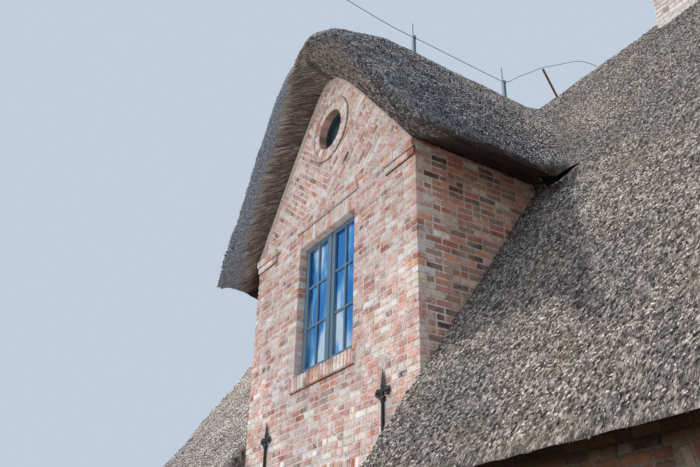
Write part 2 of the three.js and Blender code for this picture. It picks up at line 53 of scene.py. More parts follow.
# %% Tools and the cottage's own measures
import math

import bpy
import numpy as np
from mathutils import Matrix, Vector

# Where the walls stand, in metres: the gable's middle line, its face and half its width, then
# the outer faces of the end walls and of the long walls.
MIDDLE, FACE, GABLE = -0.700, -4.368, 1.877
LEFT, RIGHT = -5.900, 5.900
FRONT, REAR = -4.704, 4.704

# Each roof is a rounded angle: the height where its straight slopes would meet, their fall in
# a metre, and the size of the rounding.
MAIN_APEX, MAIN_FALL, MAIN_ROUND = 9.709, 1.43, 0.110
DORMER_APEX, DORMER_FALL, DORMER_ROUND = 9.426, 1.455, 0.147
print("gable from", MIDDLE - GABLE, "to", MIDDLE + GABLE)


# %% [markdown]
# ## Camera
# The photograph was taken from low down, close to the right of the gable,
# looking up. The lens is a 40 mm one on a 36 mm frame, and a small roll tilts the picture.
# A camera could be aimed by eye; three angles and a matrix keep the view exact.

# %% Place the camera
def place_camera():
    yaw, pitch, roll = (math.radians(a) for a in (58.71, 27.80, 1.21))
    stand = (6.780, -8.568, 1.200)
    ahead = Vector((-math.sin(yaw) * math.cos(pitch), math.cos(yaw) * math.cos(pitch), math.sin(pitch)))
    side = Vector((math.cos(yaw), math.sin(yaw), 0))
    up = side.cross(ahead)
    right = side * math.cos(roll) + up * math.sin(roll)
    top = up * math.cos(roll) - side * math.sin(roll)
    data = bpy.data.cameras.new("garden_view")
    data.lens, data.sensor_width = 40.15, 36.0
    data.clip_start, data.clip_end = 0.05, 400
    eye = bpy.data.objects.new("garden_view", data)
    bpy.context.scene.collection.objects.link(eye)
    turn = np.eye(4)
    turn[:3] = np.array([right, top, -ahead, stand]).T
    eye.matrix_world = Matrix(turn.tolist())
    bpy.context.scene.camera = eye
    return eye


eye = place_camera()
print("camera", eye.location[:])


# %% [markdown]
# ## Light and floor
# A high sun from the left throws the dormer's shadow on the roof to its right. A wide soft
# light from the front and a pale dome fill the rest, as in a daylight studio. The floor is a
# plain pale sheet and isn't part of the object.

# %% Lights, dome and floor
def sun(name, towards, strength, angle, colour):
    data = bpy.data.lights.new(name, "SUN")
    data.energy, data.angle, data.color = strength, math.radians(angle), colour
    lamp = bpy.data.objects.new(name, data)
    lamp.rotation_mode = "QUATERNION"
    lamp.rotation_quaternion = Vector(towards).to_track_quat("-Z", "Y")
    bpy.context.scene.collection.objects.link(lamp)
    return lamp


sun("key_light", (0.53, 0.11, -0.84), 5.2, 1.5, (1.0, 0.95, 0.89))
sun("front_fill", (0.30, 0.71, -0.64), 0.9, 50, (1.0, 0.98, 0.97))
dome = bpy.data.worlds.new("pale_dome")
dome.use_nodes = True
daylight = dome.node_tree.nodes["Background"].inputs
daylight["Color"].default_value = (0.68, 0.79, 0.93, 1)
daylight["Strength"].default_value = 0.78
bpy.context.scene.world = dome
bpy.context.scene.view_settings.view_transform = "Standard"
bpy.ops.object.select_all(action="DESELECT")
bpy.ops.mesh.primitive_circle_add(vertices=128, radius=90, fill_type="NGON", location=(0, 0, -0.004))
floor = bpy.context.object
floor.name = "studio_floor"


# %% [markdown]
# ## Materials
# Every finish is built from noise in the object's own metres, so a pattern keeps its true
# scale. One small helper adds a node and sets or links its sockets; the others build on it.

# %% Material helpers
def add(tree, kind, inputs=(), **settings):
    node = tree.nodes.new("ShaderNode" + kind)
    for key, value in settings.items():
        setattr(node, key, value)
    for key, value in dict(inputs).items():
        if isinstance(value, bpy.types.NodeSocket):
            tree.links.new(value, node.inputs[key])
        else:
            node.inputs[key].default_value = value
    return node


def start(name, roughness, metallic=0.0, specular=0.5):
    paint = bpy.data.materials.new(name)
    paint.use_nodes = True
    tree = paint.node_tree
    skin = tree.nodes["Principled BSDF"]
    skin.inputs["Roughness"].default_value = roughness
    skin.inputs["Metallic"].default_value = metallic
    skin.inputs["Specular IOR Level"].default_value = specular
    place = add(tree, "TexCoord").outputs["Object"]
    return paint, tree, skin, place


def stretched(tree, place, scale):
    return add(tree, "Mapping", {"Vector": place, "Scale": scale}).outputs["Vector"]


def noise(tree, place, scale, detail=3.0, rough=0.55):
    inputs = {"Vector": place, "Scale": scale, "Detail": detail, "Roughness": rough}
    return add(tree, "TexNoise", inputs).outputs["Fac"]


def ramp(tree, value, stops):
    node = add(tree, "ValToRGB", {"Fac": value})
    line = node.color_ramp
    while len(line.elements) < len(stops):
        line.elements.new(0.5)
    for mark, (at, colour) in zip(line.elements, stops):
        mark.position, mark.color = at, (*colour, 1)
    return node.outputs["Color"]


def mix(tree, share, a, b, blend="MIX"):
    a, b = (c if isinstance(c, bpy.types.NodeSocket) else (*c, 1) for c in (a, b))
    return add(tree, "Mix", {0: share, 6: a, 7: b}, data_type="RGBA", blend_type=blend).outputs[2]


def tinted(tree, colour, tint):
    return mix(tree, 1.0, colour, tint, "MULTIPLY")


def maths(tree, what, a, b=0.0):
    return add(tree, "Math", {0: a, 1: b}, operation=what).outputs[0]


def plus(tree, a, b):
    return maths(tree, "ADD", a, b)


def minus(tree, a, b):
    return maths(tree, "SUBTRACT", a, b)


def times(tree, a, b):
    return maths(tree, "MULTIPLY", a, b)


def weighed(tree, a, share, b):
    """That share of a, and the rest of b."""
    return plus(tree, times(tree, a, share), times(tree, b, 1 - share))


def between(tree, share, a, b):
    return add(tree, "Mix", {0: share, 2: a, 3: b}, data_type="FLOAT").outputs[0]


def span(tree, value, low, high, to_low=0.0, to_high=1.0):
    inputs = {"Value": value, "From Min": low, "From Max": high, "To Min": to_low, "To Max": to_high}
    return add(tree, "MapRange", inputs).outputs["Result"]


def axes(tree, vector):
    return add(tree, "SeparateXYZ", {0: vector}).outputs[:]


def stored(tree, name, socket="Fac"):
    return add(tree, "Attribute", attribute_name=name).outputs[socket]


def coloured(tree, skin, colour):
    tree.links.new(colour, skin.inputs["Base Color"])


def bump(tree, skin, height, distance):
    node = add(tree, "Bump", {"Height": height, "Distance": distance, "Strength": 1.0})
    tree.links.new(node.outputs["Normal"], skin.inputs["Normal"])


# %% [markdown]
# ### Thatch
# The left verge is a thick wall of cut reed. Its stalks lie level near the top and climb
# lower down, and its outer rim has gone grey. An image could show that, but it would have to
# be unwrapped and would never be sharp. So space itself is squeezed along the stalks, and
# noise in that space draws them.

# %% How the left verge's reed lies
def verge_lines(tree, place):
    """Squeeze space along the reed of the left verge: level lines at the top, climbing ones below."""
    x, y, z = axes(tree, place)
    lean = times(tree, plus(tree, x, 1.9), span(tree, z, 6.2, 7.6, 0.18, 0.40))
    back = minus(tree, y, FACE)
    climb = times(tree, back, span(tree, z, 6.2, 7.6, 0.90, 0.39))
    wander = times(tree, noise(tree, place, 2.6, 2), 0.10)
    level = plus(tree, minus(tree, plus(tree, z, lean), climb), wander)
    along = times(tree, plus(tree, back, x), 0.06)
    return add(tree, "CombineXYZ", {0: level, 1: along}).outputs["Vector"]


def verge_shares(tree, place):
    """How far a spot belongs to the left verge's cut front, and how far to its grey outer rim."""
    x, y, z = axes(tree, place)
    across = minus(tree, x, MIDDLE)
    bend = maths(tree, "SQRT", plus(tree, times(tree, across, across), round(DORMER_ROUND ** 2, 4)))
    top = minus(tree, DORMER_APEX, times(tree, bend, DORMER_FALL))
    below = minus(tree, minus(tree, top, z), span(tree, z, 7.2, 8.6, 0.0, 0.17))
    ahead = times(tree, span(tree, y, -4.46, -4.52), span(tree, z, 5.1, 5.3))
    front = times(tree, ahead, span(tree, across, 0.10, -0.25))
    return front, times(tree, front, span(tree, below, 0.40, 0.33))


# %% [markdown]
# Weathered reed is grey where it has seen rain and brown where it was cut. Fine streaks run
# down each slope. The main roof falls along Y and the dormer along X, so two stretched
# noises are made and the surface's own normal says which one shows. A stored number cools the
# front of the dormer, and another paints shade on the undersides under the dormer's eaves.

# %% Thatch finish
TIP_STOPS = [(0.24, (0.035, 0.031, 0.029)), (0.42, (0.135, 0.121, 0.113)),
             (0.60, (0.33, 0.30, 0.278)), (0.82, (0.62, 0.565, 0.53))]
COAT_STOPS = [(0.37, (0.022, 0.020, 0.018)), (0.47, (0.085, 0.076, 0.070)),
              (0.57, (0.24, 0.216, 0.198)), (0.68, (0.50, 0.455, 0.42))]
CUT_STOPS = [(0.37, (0.105, 0.080, 0.067)), (0.50, (0.27, 0.215, 0.180)), (0.63, (0.43, 0.355, 0.305))]
RIM_STOPS = [(0.36, (0.075, 0.079, 0.090)), (0.50, (0.225, 0.232, 0.258)), (0.64, (0.41, 0.42, 0.455))]


def along_fall(tree, place, sideways, squeeze, *grain):
    """Noise drawn out down the slope, along Y on the main roof and along X on the dormer."""
    scales = (1.0, squeeze, squeeze), (squeeze, 1.0, squeeze)
    main, dormer = (noise(tree, stretched(tree, place, scale), *grain) for scale in scales)
    return between(tree, sideways, main, dormer)


def cut_sides(tree, place, upward, reed, height):
    """Show cut reed on the undersides and the left verge, then its rim, its foot and the painted shade under
    the eaves.
    """
    x, _, z = axes(tree, place)
    left = times(tree, span(tree, x, -0.60, -0.70), span(tree, z, 5.1, 5.3))
    lines = {0: left, 4: stretched(tree, place, (1.0, 0.05, 1.0)), 5: verge_lines(tree, place)}
    lie = add(tree, "Mix", lines, data_type="VECTOR").outputs[1]
    stroke = weighed(tree, noise(tree, lie, 48, 2, 0.6), 0.65, noise(tree, lie, 13, 2, 0.5))
    cut = ramp(tree, stroke, CUT_STOPS)
    swing = maths(tree, "ABSOLUTE", minus(tree, noise(tree, lie, 24, 1), 0.5))
    cut = mix(tree, span(tree, swing, 0.0, 0.022), tinted(tree, cut, (0.42, 0.39, 0.38)), cut)
    front, rim = verge_shares(tree, place)
    on_front = times(tree, front, span(tree, upward, 0.45, 0.30))
    under = maths(tree, "MAXIMUM", span(tree, upward, 0.12, -0.12), on_front)
    reed = mix(tree, under, reed, cut)
    foot = times(tree, front, span(tree, z, 5.78, 5.48))
    reed = mix(tree, foot, reed, tinted(tree, reed, (1.35, 0.98, 0.66)))
    reed = mix(tree, rim, reed, ramp(tree, noise(tree, place, 62, 3, 0.6), RIM_STOPS))
    # Painted shade: a stored number darkens the reed under the dormer's side eaves and at the right verge's
    # foot.
    reed = mix(tree, stored(tree, "reed_shade"), reed, tinted(tree, reed, (0.155, 0.128, 0.124)))
    return reed, between(tree, under, height, stroke)


def thatch_material(name, tips):
    paint, tree, skin, place = start(name, 0.95, specular=0.15)
    facing = axes(tree, add(tree, "TexCoord").outputs["Normal"])
    sideways = span(tree, maths(tree, "ABSOLUTE", facing[0]), 0.35, 0.55)
    streak = along_fall(tree, place, sideways, 0.42, 24, 4, 0.6)
    grain = along_fall(tree, place, sideways, 0.3, 85, 2, 0.5)
    height = weighed(tree, streak, 0.62, grain)
    if tips:
        height = weighed(tree, height, 0.35, stored(tree, "tone"))
    reed = ramp(tree, height, TIP_STOPS if tips else COAT_STOPS)
    patch = ramp(tree, noise(tree, place, 0.9, 3), [(0.35, (0.80, 0.80, 0.82)), (0.65, (1.16, 1.12, 1.08))])
    reed = tinted(tree, reed, patch)
    moss = span(tree, noise(tree, place, 2.3, 4, 0.6), 0.56, 0.72, 0.0, 0.30)
    reed = mix(tree, moss, reed, (0.19, 0.145, 0.085))
    # A stored number tints the front of the dormer cooler and a little darker.
    reed = mix(tree, stored(tree, "cool_tint"), reed, tinted(tree, reed, (0.85, 0.93, 1.08)))
    if not tips:
        reed, height = cut_sides(tree, place, facing[2], reed, height)
    coloured(tree, skin, reed)
    bump(tree, skin, height, 0.01 if tips else 0.045)
    return paint


thatch_skin = thatch_material("weathered_thatch", False)
tip_skin = thatch_material("reed_tips", True)
print("thatch", len(thatch_skin.node_tree.nodes), "nodes, tips", len(tip_skin.node_tree.nodes))


# %% [markdown]
# The strewn strokes of cut reed have a finish of their own, and the grey strokes on the rim
# another; the third, nearly black, is painted shade on the walls of the gap under the eave's tail.
# One function makes all three, because only their colours differ.

# %% Cut reed finishes
def cut_reed_material(name, tones):
    paint, tree, skin, place = start(name, 0.9, specular=0.2)
    grain = noise(tree, place, 60, 3)
    value = weighed(tree, stored(tree, "tone"), 0.7, grain)
    coloured(tree, skin, ramp(tree, value, list(zip((0.2, 0.5, 0.85), tones))))
    bump(tree, skin, grain, 0.002)
    return paint


cut_skin = cut_reed_material("cut_reed", ((0.115, 0.090, 0.076), (0.27, 0.217, 0.183), (0.42, 0.35, 0.305)))
rim_skin = cut_reed_material("grey_reed", ((0.075, 0.079, 0.090), (0.22, 0.227, 0.252), (0.42, 0.43, 0.465)))
GAP_SHADE_TONES = ((0.010, 0.008, 0.007), (0.022, 0.018, 0.015), (0.045, 0.036, 0.030))
gap_shade_skin = cut_reed_material("painted_gap_shade", GAP_SHADE_TONES)
print("thatch finishes", [m.name for m in bpy.data.materials])


# %% [markdown]
# ### Brick, mortar, paint, iron and the rest
# Old hand-made bricks differ one by one, so each brick carries its own colour as an
# attribute, and noise adds burnt spots and smeared lime on top. The gable's face was limed and
# has paled in the weather. The cheeks and the walls below the eaves get a darker, warmer brick
# and mortar: partly their own warm colour, partly painted shade.
# A tiled brick image would be quicker, but every course would repeat.

# %% Brick and mortar materials
def lime_smear(tree, place, most):
    both = weighed(tree, noise(tree, place, 5.5, 4, 0.6), 0.55, noise(tree, place, 48, 5, 0.7))
    return span(tree, both, 0.45, 0.60, 0.0, most)


def wall_eave_shade(tree, place, body):
    """Painted shade: the long walls are darkened right under the eaves, where the eaves cast their shadow."""
    x, y, z = axes(tree, place)
    outer = span(tree, maths(tree, "ABSOLUTE", y), 4.55, 4.62)
    inner = span(tree, maths(tree, "ABSOLUTE", x), RIGHT, 5.86)
    share = times(tree, times(tree, span(tree, z, 1.75, 2.30), outer), inner)
    # Painted shade: a near-black tint on the top of the long walls under the eaves.
    return mix(tree, share, body, tinted(tree, body, (0.050, 0.036, 0.016)))


def brick_material(name, lime, most):
    paint, tree, skin, place = start(name, 0.88, specular=0.25)
    burnt_and_pale = [(0.3, (0.74, 0.71, 0.70)), (0.7, (1.22, 1.20, 1.18))]
    blotch = ramp(tree, noise(tree, place, 13, 4, 0.6), burnt_and_pale)
    body = tinted(tree, stored(tree, "tone", "Color"), blotch)
    pores = span(tree, noise(tree, place, 95, 3, 0.6), 0.60, 0.72, 0.0, 0.45)
    body = mix(tree, pores, body, (0.10, 0.055, 0.045))
    smear = lime_smear(tree, place, most)
    coloured(tree, skin, wall_eave_shade(tree, place, mix(tree, smear, body, lime)))
    rough = plus(tree, noise(tree, place, 60, 4, 0.6), times(tree, smear, 0.5))
    bump(tree, skin, rough, 0.006)
    return paint


def mortar_material(name, dark, light):
    paint, tree, skin, place = start(name, 0.95, specular=0.15)
    sand = ramp(tree, noise(tree, place, 160, 3, 0.7), [(0.3, dark), (0.7, light)])
    wide = ramp(tree, noise(tree, place, 2.2, 4), [(0.3, (0.80, 0.79, 0.78)), (0.7, (1.1, 1.09, 1.07))])
    shade = ramp(tree, noise(tree, place, 26, 4, 0.65), [(0.34, (0.62, 0.58, 0.56)), (0.52, (1.0, 1.0, 1.0))])
    coat = tinted(tree, tinted(tree, sand, wide), shade)
    coloured(tree, skin, wall_eave_shade(tree, place, coat))
    bump(tree, skin, noise(tree, place, 120, 4, 0.7), 0.004)
    return paint


brick_skin = brick_material("limed_brick", (0.87, 0.79, 0.745), 0.80)
# Partly painted shade: a darker, warmer copy of brick and mortar for the cheeks and the long and end walls.
warm_shaded_brick = brick_material("warm_shaded_brick", (0.62, 0.48, 0.40), 0.40)
mortar_skin = mortar_material("lime_mortar", (0.70, 0.62, 0.57), (0.96, 0.90, 0.85))
brown_shaded_mortar = mortar_material("brown_shaded_mortar", (0.50, 0.40, 0.335), (0.76, 0.64, 0.56))
print("brick", len(brick_skin.node_tree.nodes), "nodes, mortar", len(mortar_skin.node_tree.nodes))


# %% [markdown]
# ### Paint, glass, iron, rust, boards and stone
# The joinery is slate blue and has caught some dust. Panes mirror what stands before them, and
# in a studio nothing does, so a soft pattern in their colour plays the reflection. Mirroring
# a real view would need an image file. Boards have a grain and seams. The rest are speckles:
# one noise, read through other colours.

# %% Paint, glass, iron, rust, boards and stone
def paint_material(name, dark, light, roughness):
    paint, tree, skin, place = start(name, roughness)
    brush = noise(tree, stretched(tree, place, (1.0, 1.0, 0.08)), 130, 3)
    coat = mix(tree, brush, dark, light)
    dust = span(tree, noise(tree, place, 5, 5, 0.65), 0.55, 0.8, 0.0, 0.35)
    coloured(tree, skin, mix(tree, dust, coat, (0.24, 0.27, 0.30)))
    bump(tree, skin, brush, 0.0012)
    return paint


def glass_material(name, tints, shine):
    paint, tree, skin, place = start(name, 0.04, shine, 0.9)
    wave = noise(tree, stretched(tree, place, (1.7, 1.7, 0.6)), 2.1, 3, 0.5)
    coloured(tree, skin, ramp(tree, wave, list(zip((0.42, 0.51, 0.61), tints))))
    bump(tree, skin, noise(tree, place, 3.0, 2), 0.004)
    return paint


def iron_material():
    paint, tree, skin, place = start("black_iron", 0.5, 0.35)
    spots = noise(tree, place, 45, 4, 0.6)
    shades = [(0.4, (0.010, 0.012, 0.016)), (0.72, (0.045, 0.048, 0.055))]
    coloured(tree, skin, ramp(tree, spots, shades))
    bump(tree, skin, noise(tree, place, 90, 3), 0.003)
    return paint


def board_material():
    paint, tree, skin, place = start("floor_boards", 0.6)
    grain = noise(tree, stretched(tree, place, (0.06, 1.0, 1.0)), 60, 4)
    seam = add(tree, "TexWave", {"Vector": place, "Scale": 2.3}, bands_direction="Y").outputs["Fac"]
    wood = ramp(tree, grain, [(0.3, (0.17, 0.10, 0.055)), (0.7, (0.36, 0.25, 0.15))])
    dark = span(tree, seam, 0.0, 0.04, 1.0, 0.0)
    coloured(tree, skin, mix(tree, dark, wood, (0.05, 0.03, 0.02)))
    bump(tree, skin, grain, 0.003)
    return paint


def speckled_material(name, stops, grain=(70, 5, 0.7), metallic=0.0):
    paint, tree, skin, place = start(name, 0.85, metallic)
    speck = noise(tree, place, *grain)
    coloured(tree, skin, ramp(tree, speck, stops))
    bump(tree, skin, speck, 0.004)
    return paint


def stone_material(name, dark, light):
    return speckled_material(name, [(0.3, dark), (0.7, light)])


blue_paint = paint_material("slate_blue_paint", (0.075, 0.150, 0.215), (0.120, 0.215, 0.295), 0.35)
shaded_paint = paint_material("shaded_paint", (0.022, 0.036, 0.048), (0.050, 0.072, 0.090), 0.35)
PANE_TINTS = ((0.02, 0.24, 0.62), (0.14, 0.48, 0.85), (0.80, 0.89, 0.95))
SHADE_TINTS = ((0.008, 0.012, 0.016), (0.015, 0.028, 0.036), (0.03, 0.07, 0.085))
RUST_STOPS = [(0.3, (0.05, 0.022, 0.014)), (0.5, (0.20, 0.075, 0.035)), (0.7, (0.36, 0.17, 0.09))]
glass_skin = glass_material("window_glass", PANE_TINTS, 0.92)
dark_glass = glass_material("shaded_glass", SHADE_TINTS, 0.0)
iron_skin = iron_material()
wire_skin = stone_material("grey_wire", (0.20, 0.21, 0.22), (0.42, 0.43, 0.44))
# Painted shadow: a near-black finish for the strips that stand for the shadow lines under ledges.
shade_strip_skin = stone_material("shade_strips", (0.020, 0.015, 0.012), (0.075, 0.055, 0.045))
rust_skin = speckled_material("rusty_steel", RUST_STOPS, (40, 5, 0.65), 0.2)
board_skin = board_material()
stone_skin = stone_material("step_stone", (0.20, 0.19, 0.175), (0.42, 0.40, 0.37))
floor.data.materials.append(stone_material("studio_paper", (0.35, 0.35, 0.35), (0.38, 0.38, 0.38)))
print("materials", len(bpy.data.materials))


# %% [markdown]
# ### The skeleton's own finishes
# A node gets the finish beside the first word in this list that its name contains. Each
# could be set by hand, but names are kept when the model is packed again, and numbers aren't.

# %% Give the CAD nodes their finishes
FINISHES = [
    ("oculus_glass", dark_glass), ("glass", glass_skin), ("oculus_frame", shaded_paint),
    ("frame", blue_paint), ("door_leaf", blue_paint), ("post", blue_paint), ("back_door", blue_paint),
    ("wall_anchor", iron_skin), ("ridge_wire", wire_skin), ("gable_wall", mortar_skin),
    # The darker mortar of the walls and cheeks is partly painted shade.
    ("chimney_stack", mortar_skin), ("wall", brown_shaded_mortar), ("cheek", brown_shaded_mortar),
    ("lean_pipe", rust_skin), ("floor", board_skin), ("door_step", stone_skin),
]
for name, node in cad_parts.items():
    fitting = [skin for word, skin in FINISHES if word in name]
    for slot in node.material_slots:
        if fitting:
            slot.material = fitting[0]
print("nodes without a finish of their own",
      [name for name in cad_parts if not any(word in name for word, skin in FINISHES)])


# %% [markdown]
# ## The thatch coat
# A thatch is one soft body that flows from the main roof over the valleys on to the dormer.
# The eight CAD solids are copied, swollen by a hair so they overlap, joined and remeshed
# into one skin. A boolean union would keep their sharp seams; a voxel remesh melts them, and
# smoothing rounds the edges.

# %% Join and remesh the thatch
THATCH = [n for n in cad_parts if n.startswith("thatch_")]


def only(piece):
    """Choose this piece alone."""
    bpy.ops.object.select_all(action="DESELECT")
    piece.select_set(True)
    bpy.context.view_layer.objects.active = piece
    return piece


def applied(piece, kind, **settings):
    """Add a modifier and apply it at once."""
    only(piece)
    step = piece.modifiers.new(kind.lower(), kind)
    for key, value in settings.items():
        setattr(step, key, value)
    bpy.ops.object.modifier_apply(modifier=step.name)
    return piece


def edit(piece):
    """Open the piece's mesh with all its points chosen."""
    only(piece)
    bpy.ops.object.mode_set(mode="EDIT")
    bpy.ops.mesh.select_all(action="SELECT")


def leave_edit():
    bpy.ops.object.mode_set(mode="OBJECT")


def linked(name, mesh):
    piece = bpy.data.objects.new(name, mesh)
    bpy.context.scene.collection.objects.link(piece)
    return piece


def twin_of(original, name):
    twin = original.copy()
    twin.data = original.data.copy()
    twin.name = name
    bpy.context.scene.collection.objects.link(twin)
    return twin


def copy_of(name):
    """A free copy of a CAD node, with its faces joined along their edges."""
    twin = twin_of(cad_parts[name], "copy_" + name)
    for key in list(twin.keys()):
        del twin[key]
    twin.parent = None
    edit(twin)
    bpy.ops.mesh.remove_doubles(threshold=0.00002)
    leave_edit()
    return twin


def joined(parts, name):
    """The parts as one piece."""
    only(parts[0])
    for part in parts:
        part.select_set(True)
    bpy.ops.object.join()
    piece = bpy.context.object
    piece.name = name
    return piece


coats = [applied(copy_of(n), "DISPLACE", strength=0.003, mid_level=0.0) for n in THATCH]
shell = joined(coats, "thatch_shell")
applied(shell, "REMESH", mode="VOXEL", voxel_size=0.062)
applied(shell, "SMOOTH", factor=0.5, iterations=3)
print("shell faces", len(shell.data.polygons))


# %% [markdown]
# No thatcher lays a roof dead flat. It could be sculpted, but two cloud textures, one broad
# and one fine, push the skin in and out with numbers that are easy to change.

# %% Push the thatch into soft waves
def waves(piece, size, strength):
    cloud = bpy.data.textures.new("waves", "CLOUDS")
    cloud.noise_scale = size
    applied(piece, "DISPLACE", texture=cloud, texture_coords="LOCAL", strength=strength, mid_level=0.5)


waves(shell, 0.55, 0.045)
waves(shell, 0.16, 0.030)
print("waved", len(shell.data.vertices), "points")


# %% [markdown]
# The dormer's front is a cooler grey, and the reed under its side eaves is darkened as painted
# shade. Both could be painted by hand, point by point. A formula in the roof's own measures is
# kinder: it stays true when the mesh changes, and the material reads it off the points.

# %% Where the cool tint and the painted shade lie
# The outer edge of the dormer's thatch, from the middle line.
DORMER_EDGE = 2.75


def points_of(piece):
    flat = np.empty(len(piece.data.vertices) * 3)
    piece.data.vertices.foreach_get("co", flat)
    return flat.reshape(-1, 3)


def main_top(y):
    return MAIN_APEX - MAIN_FALL * np.hypot(y, MAIN_ROUND)


def dormer_top(x, y):
    """The dormer's top, which falls a little from its front towards the main roof."""
    back = np.maximum(0, y + 3.36)
    return DORMER_APEX - 0.043 * back - DORMER_FALL * np.hypot(np.abs(x - MIDDLE), DORMER_ROUND)


def cool_tint_at(points):
    """1 at the dormer's front end, less towards the back and below its top."""
    x, y, z = points.T
    near = np.clip(1.4 - np.abs(z - dormer_top(x, y)) / 0.35, 0, 1)
    ahead = np.clip((-y - 2.2) / 1.8, 0, 1)
    return near * np.clip((z - 5.0) / 0.3, 0, 1) * (0.2 + 0.8 * ahead)


def reed_shade_at(points):
    """Painted shade: 1 under the dormer's side eaves, behind the gable's face, and 0.75 at the right verge's
    foot.
    """
    x, y, z = points.T
    across = np.abs(x - MIDDLE)
    beside = np.clip((across - 1.80) / 0.06, 0, 1) * np.clip((DORMER_EDGE - across) / 0.1, 0, 1)
    behind = np.clip((y + 4.42) / 0.12, 0, 1) * np.clip((-2.2 - y) / 0.2, 0, 1)
    low = np.clip((6.65 - z) / 0.1, 0, 1)
    right = np.clip((x - MIDDLE - 1.1) / 0.5, 0, 1) * np.clip((-4.30 - y) / 0.06, 0, 1)
    foot = right * np.clip((z - 5.0) / 0.2, 0, 1)
    return np.maximum(beside * (behind * low), 0.75 * foot)


def upward_part(piece):
    """How far each point's normal looks up: 1 at a top, -1 at an underside."""
    flat = np.empty(len(piece.data.vertices) * 3, np.float32)
    piece.data.vertices.foreach_get("normal", flat)
    return flat.reshape(-1, 3)[:, 2]


def store(piece, name, values):
    layer = piece.data.attributes.new(name, "FLOAT", "POINT")
    layer.data.foreach_set("value", np.ascontiguousarray(values, np.float32))


# %% [markdown]
# The underside over the rooms is never seen closely. It could stay as fine as the rest, but
# half of all the faces would lie in the dark, so a decimate modifier thins just that side.
# A clean cut by a plane, closed again, will then part the skin into four.

# %% Thin the underside and cut the shell
def thinned(piece, ratio):
    x, y = points_of(piece).T[:2]
    inside = (upward_part(piece) < -0.2) & (np.abs(y) < 4.3) & (np.abs(x) < 5.85)
    group = piece.vertex_groups.new(name="under")
    group.add([int(i) for i in np.flatnonzero(inside)], 1.0, "REPLACE")
    applied(piece, "DECIMATE", ratio=ratio, vertex_group="under", vertex_group_factor=10.0)
    print("thinned to", len(piece.data.polygons))


thinned(shell, 0.64)


def cut_away(piece, place, towards):
    edit(piece)
    bpy.ops.mesh.bisect(plane_co=place, plane_no=towards, use_fill=True, clear_outer=True)
    leave_edit()


# %% [markdown]
# Where the dormer's eave dies into the main roof, the thatcher leaves the tail standing free:
# a thin dark gap curls up under it. A slim blade of that outline is pushed in and cut out, and
# the gap's walls take a near-black finish: painted shade.

# %% The gap under the tail of the eave
def undercut(part):
    rim = [(1.769, -3.188, 5.661), (1.902, -3.058, 5.650), (2.012, -3.001, 5.699), (2.110, -2.949, 5.736),
           (2.206, -2.897, 5.769), (2.106, -2.934, 5.714), (2.009, -2.974, 5.662), (1.908, -3.012, 5.600),
           (1.772, -3.090, 5.543)]
    push = Vector((-0.30, 0.35, 0.28))
    mesh = bpy.data.meshes.new("gap_blade")
    mesh.from_pydata(rim, [], [list(range(len(rim)))])
    blade = linked("gap_blade", mesh)
    edit(blade)
    bpy.ops.mesh.extrude_region_move(TRANSFORM_OT_translate={"value": push})
    bpy.ops.mesh.select_all(action="SELECT")
    bpy.ops.mesh.normals_make_consistent(inside=False)
    leave_edit()
    # Painted shade: the blade's faces pass a near-black finish to the walls of the gap.
    blade.data.materials.append(gap_shade_skin)
    applied(part, "BOOLEAN", operation="DIFFERENCE", object=blade, solver="EXACT", material_mode="TRANSFER")
    bpy.data.objects.remove(blade)


# %% [markdown]
# A thatcher knocks the cut reed level with a dressing board. Under the left verge the waves
# are drawn smooth again: the points there are chosen by place and eased forty times.

# %% The dressed underside of the left verge
def dressed_flat(part):
    """Draw the under face of the left verge smooth, as a thatcher does with a dressing board."""
    x, y, z = points_of(part).T
    chosen = (x < MIDDLE - 0.03) & (y < -4.30) & (z > 5.35) & (under_share(part) > 0.7)
    edit(part)
    bpy.ops.mesh.select_all(action="DESELECT")
    leave_edit()
    part.data.vertices.foreach_set("select", chosen)
    bpy.ops.object.mode_set(mode="EDIT")
    bpy.ops.mesh.select_mode(type="VERT")
    bpy.ops.mesh.vertices_smooth(factor=0.5, repeat=40)
    leave_edit()
    print("dressed flat", int(chosen.sum()), "points")


def under_share(part):
    """1 where the surface looks down, 0 where it looks up."""
    return np.clip(0.6 - upward_part(part) * 3, 0, 1)


# %% [markdown]
# Each quarter is a closed body and stands in for the CAD coats on its side. One skin for the
# whole roof would be simpler, but four pieces stay light enough to open and to export.

# %% Four coats
def quarter(name, cuts, *nodes):
    """One closed quarter of the shell, which stands in for these CAD nodes."""
    part = twin_of(shell, name)
    for place, towards in cuts:
        cut_away(part, place, towards)
    part.data.materials.clear()
    part.data.materials.append(thatch_skin)
    if name == "coat_front_right":
        undercut(part)
    if name == "coat_front_left":
        dressed_flat(part)
    only(part)
    bpy.ops.object.shade_smooth_by_angle(angle=math.radians(50))
    store(part, "cool_tint", cool_tint_at(points_of(part)))
    store(part, "reed_shade", reed_shade_at(points_of(part)) * under_share(part))
    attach(part, "root")
    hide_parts(*nodes)
    print(name, len(part.data.polygons))
    return part


# A cut is a spot on its plane and the way to the side that is thrown away.
FRONT_HALF, BACK_HALF = ((0, 0, 0), (0, 1, 0)), ((0, 0, 0), (0, -1, 0))
LEFT_HALF, RIGHT_HALF = ((MIDDLE, 0, 0), (1, 0, 0)), ((MIDDLE, 0, 0), (-1, 0, 0))
coat_front_left = quarter("coat_front_left", (FRONT_HALF, LEFT_HALF),
                          "thatch_front_left", "thatch_valley_left", "thatch_dormer_left")
coat_front_right = quarter("coat_front_right", (FRONT_HALF, RIGHT_HALF),
                           "thatch_front_right", "thatch_valley_right", "thatch_dormer_right")
coat_back_left = quarter("coat_back_left", (BACK_HALF, LEFT_HALF), "thatch_back_left")
coat_back_right = quarter("coat_back_right", (BACK_HALF, RIGHT_HALF), "thatch_back_right")
bpy.data.objects.remove(shell)


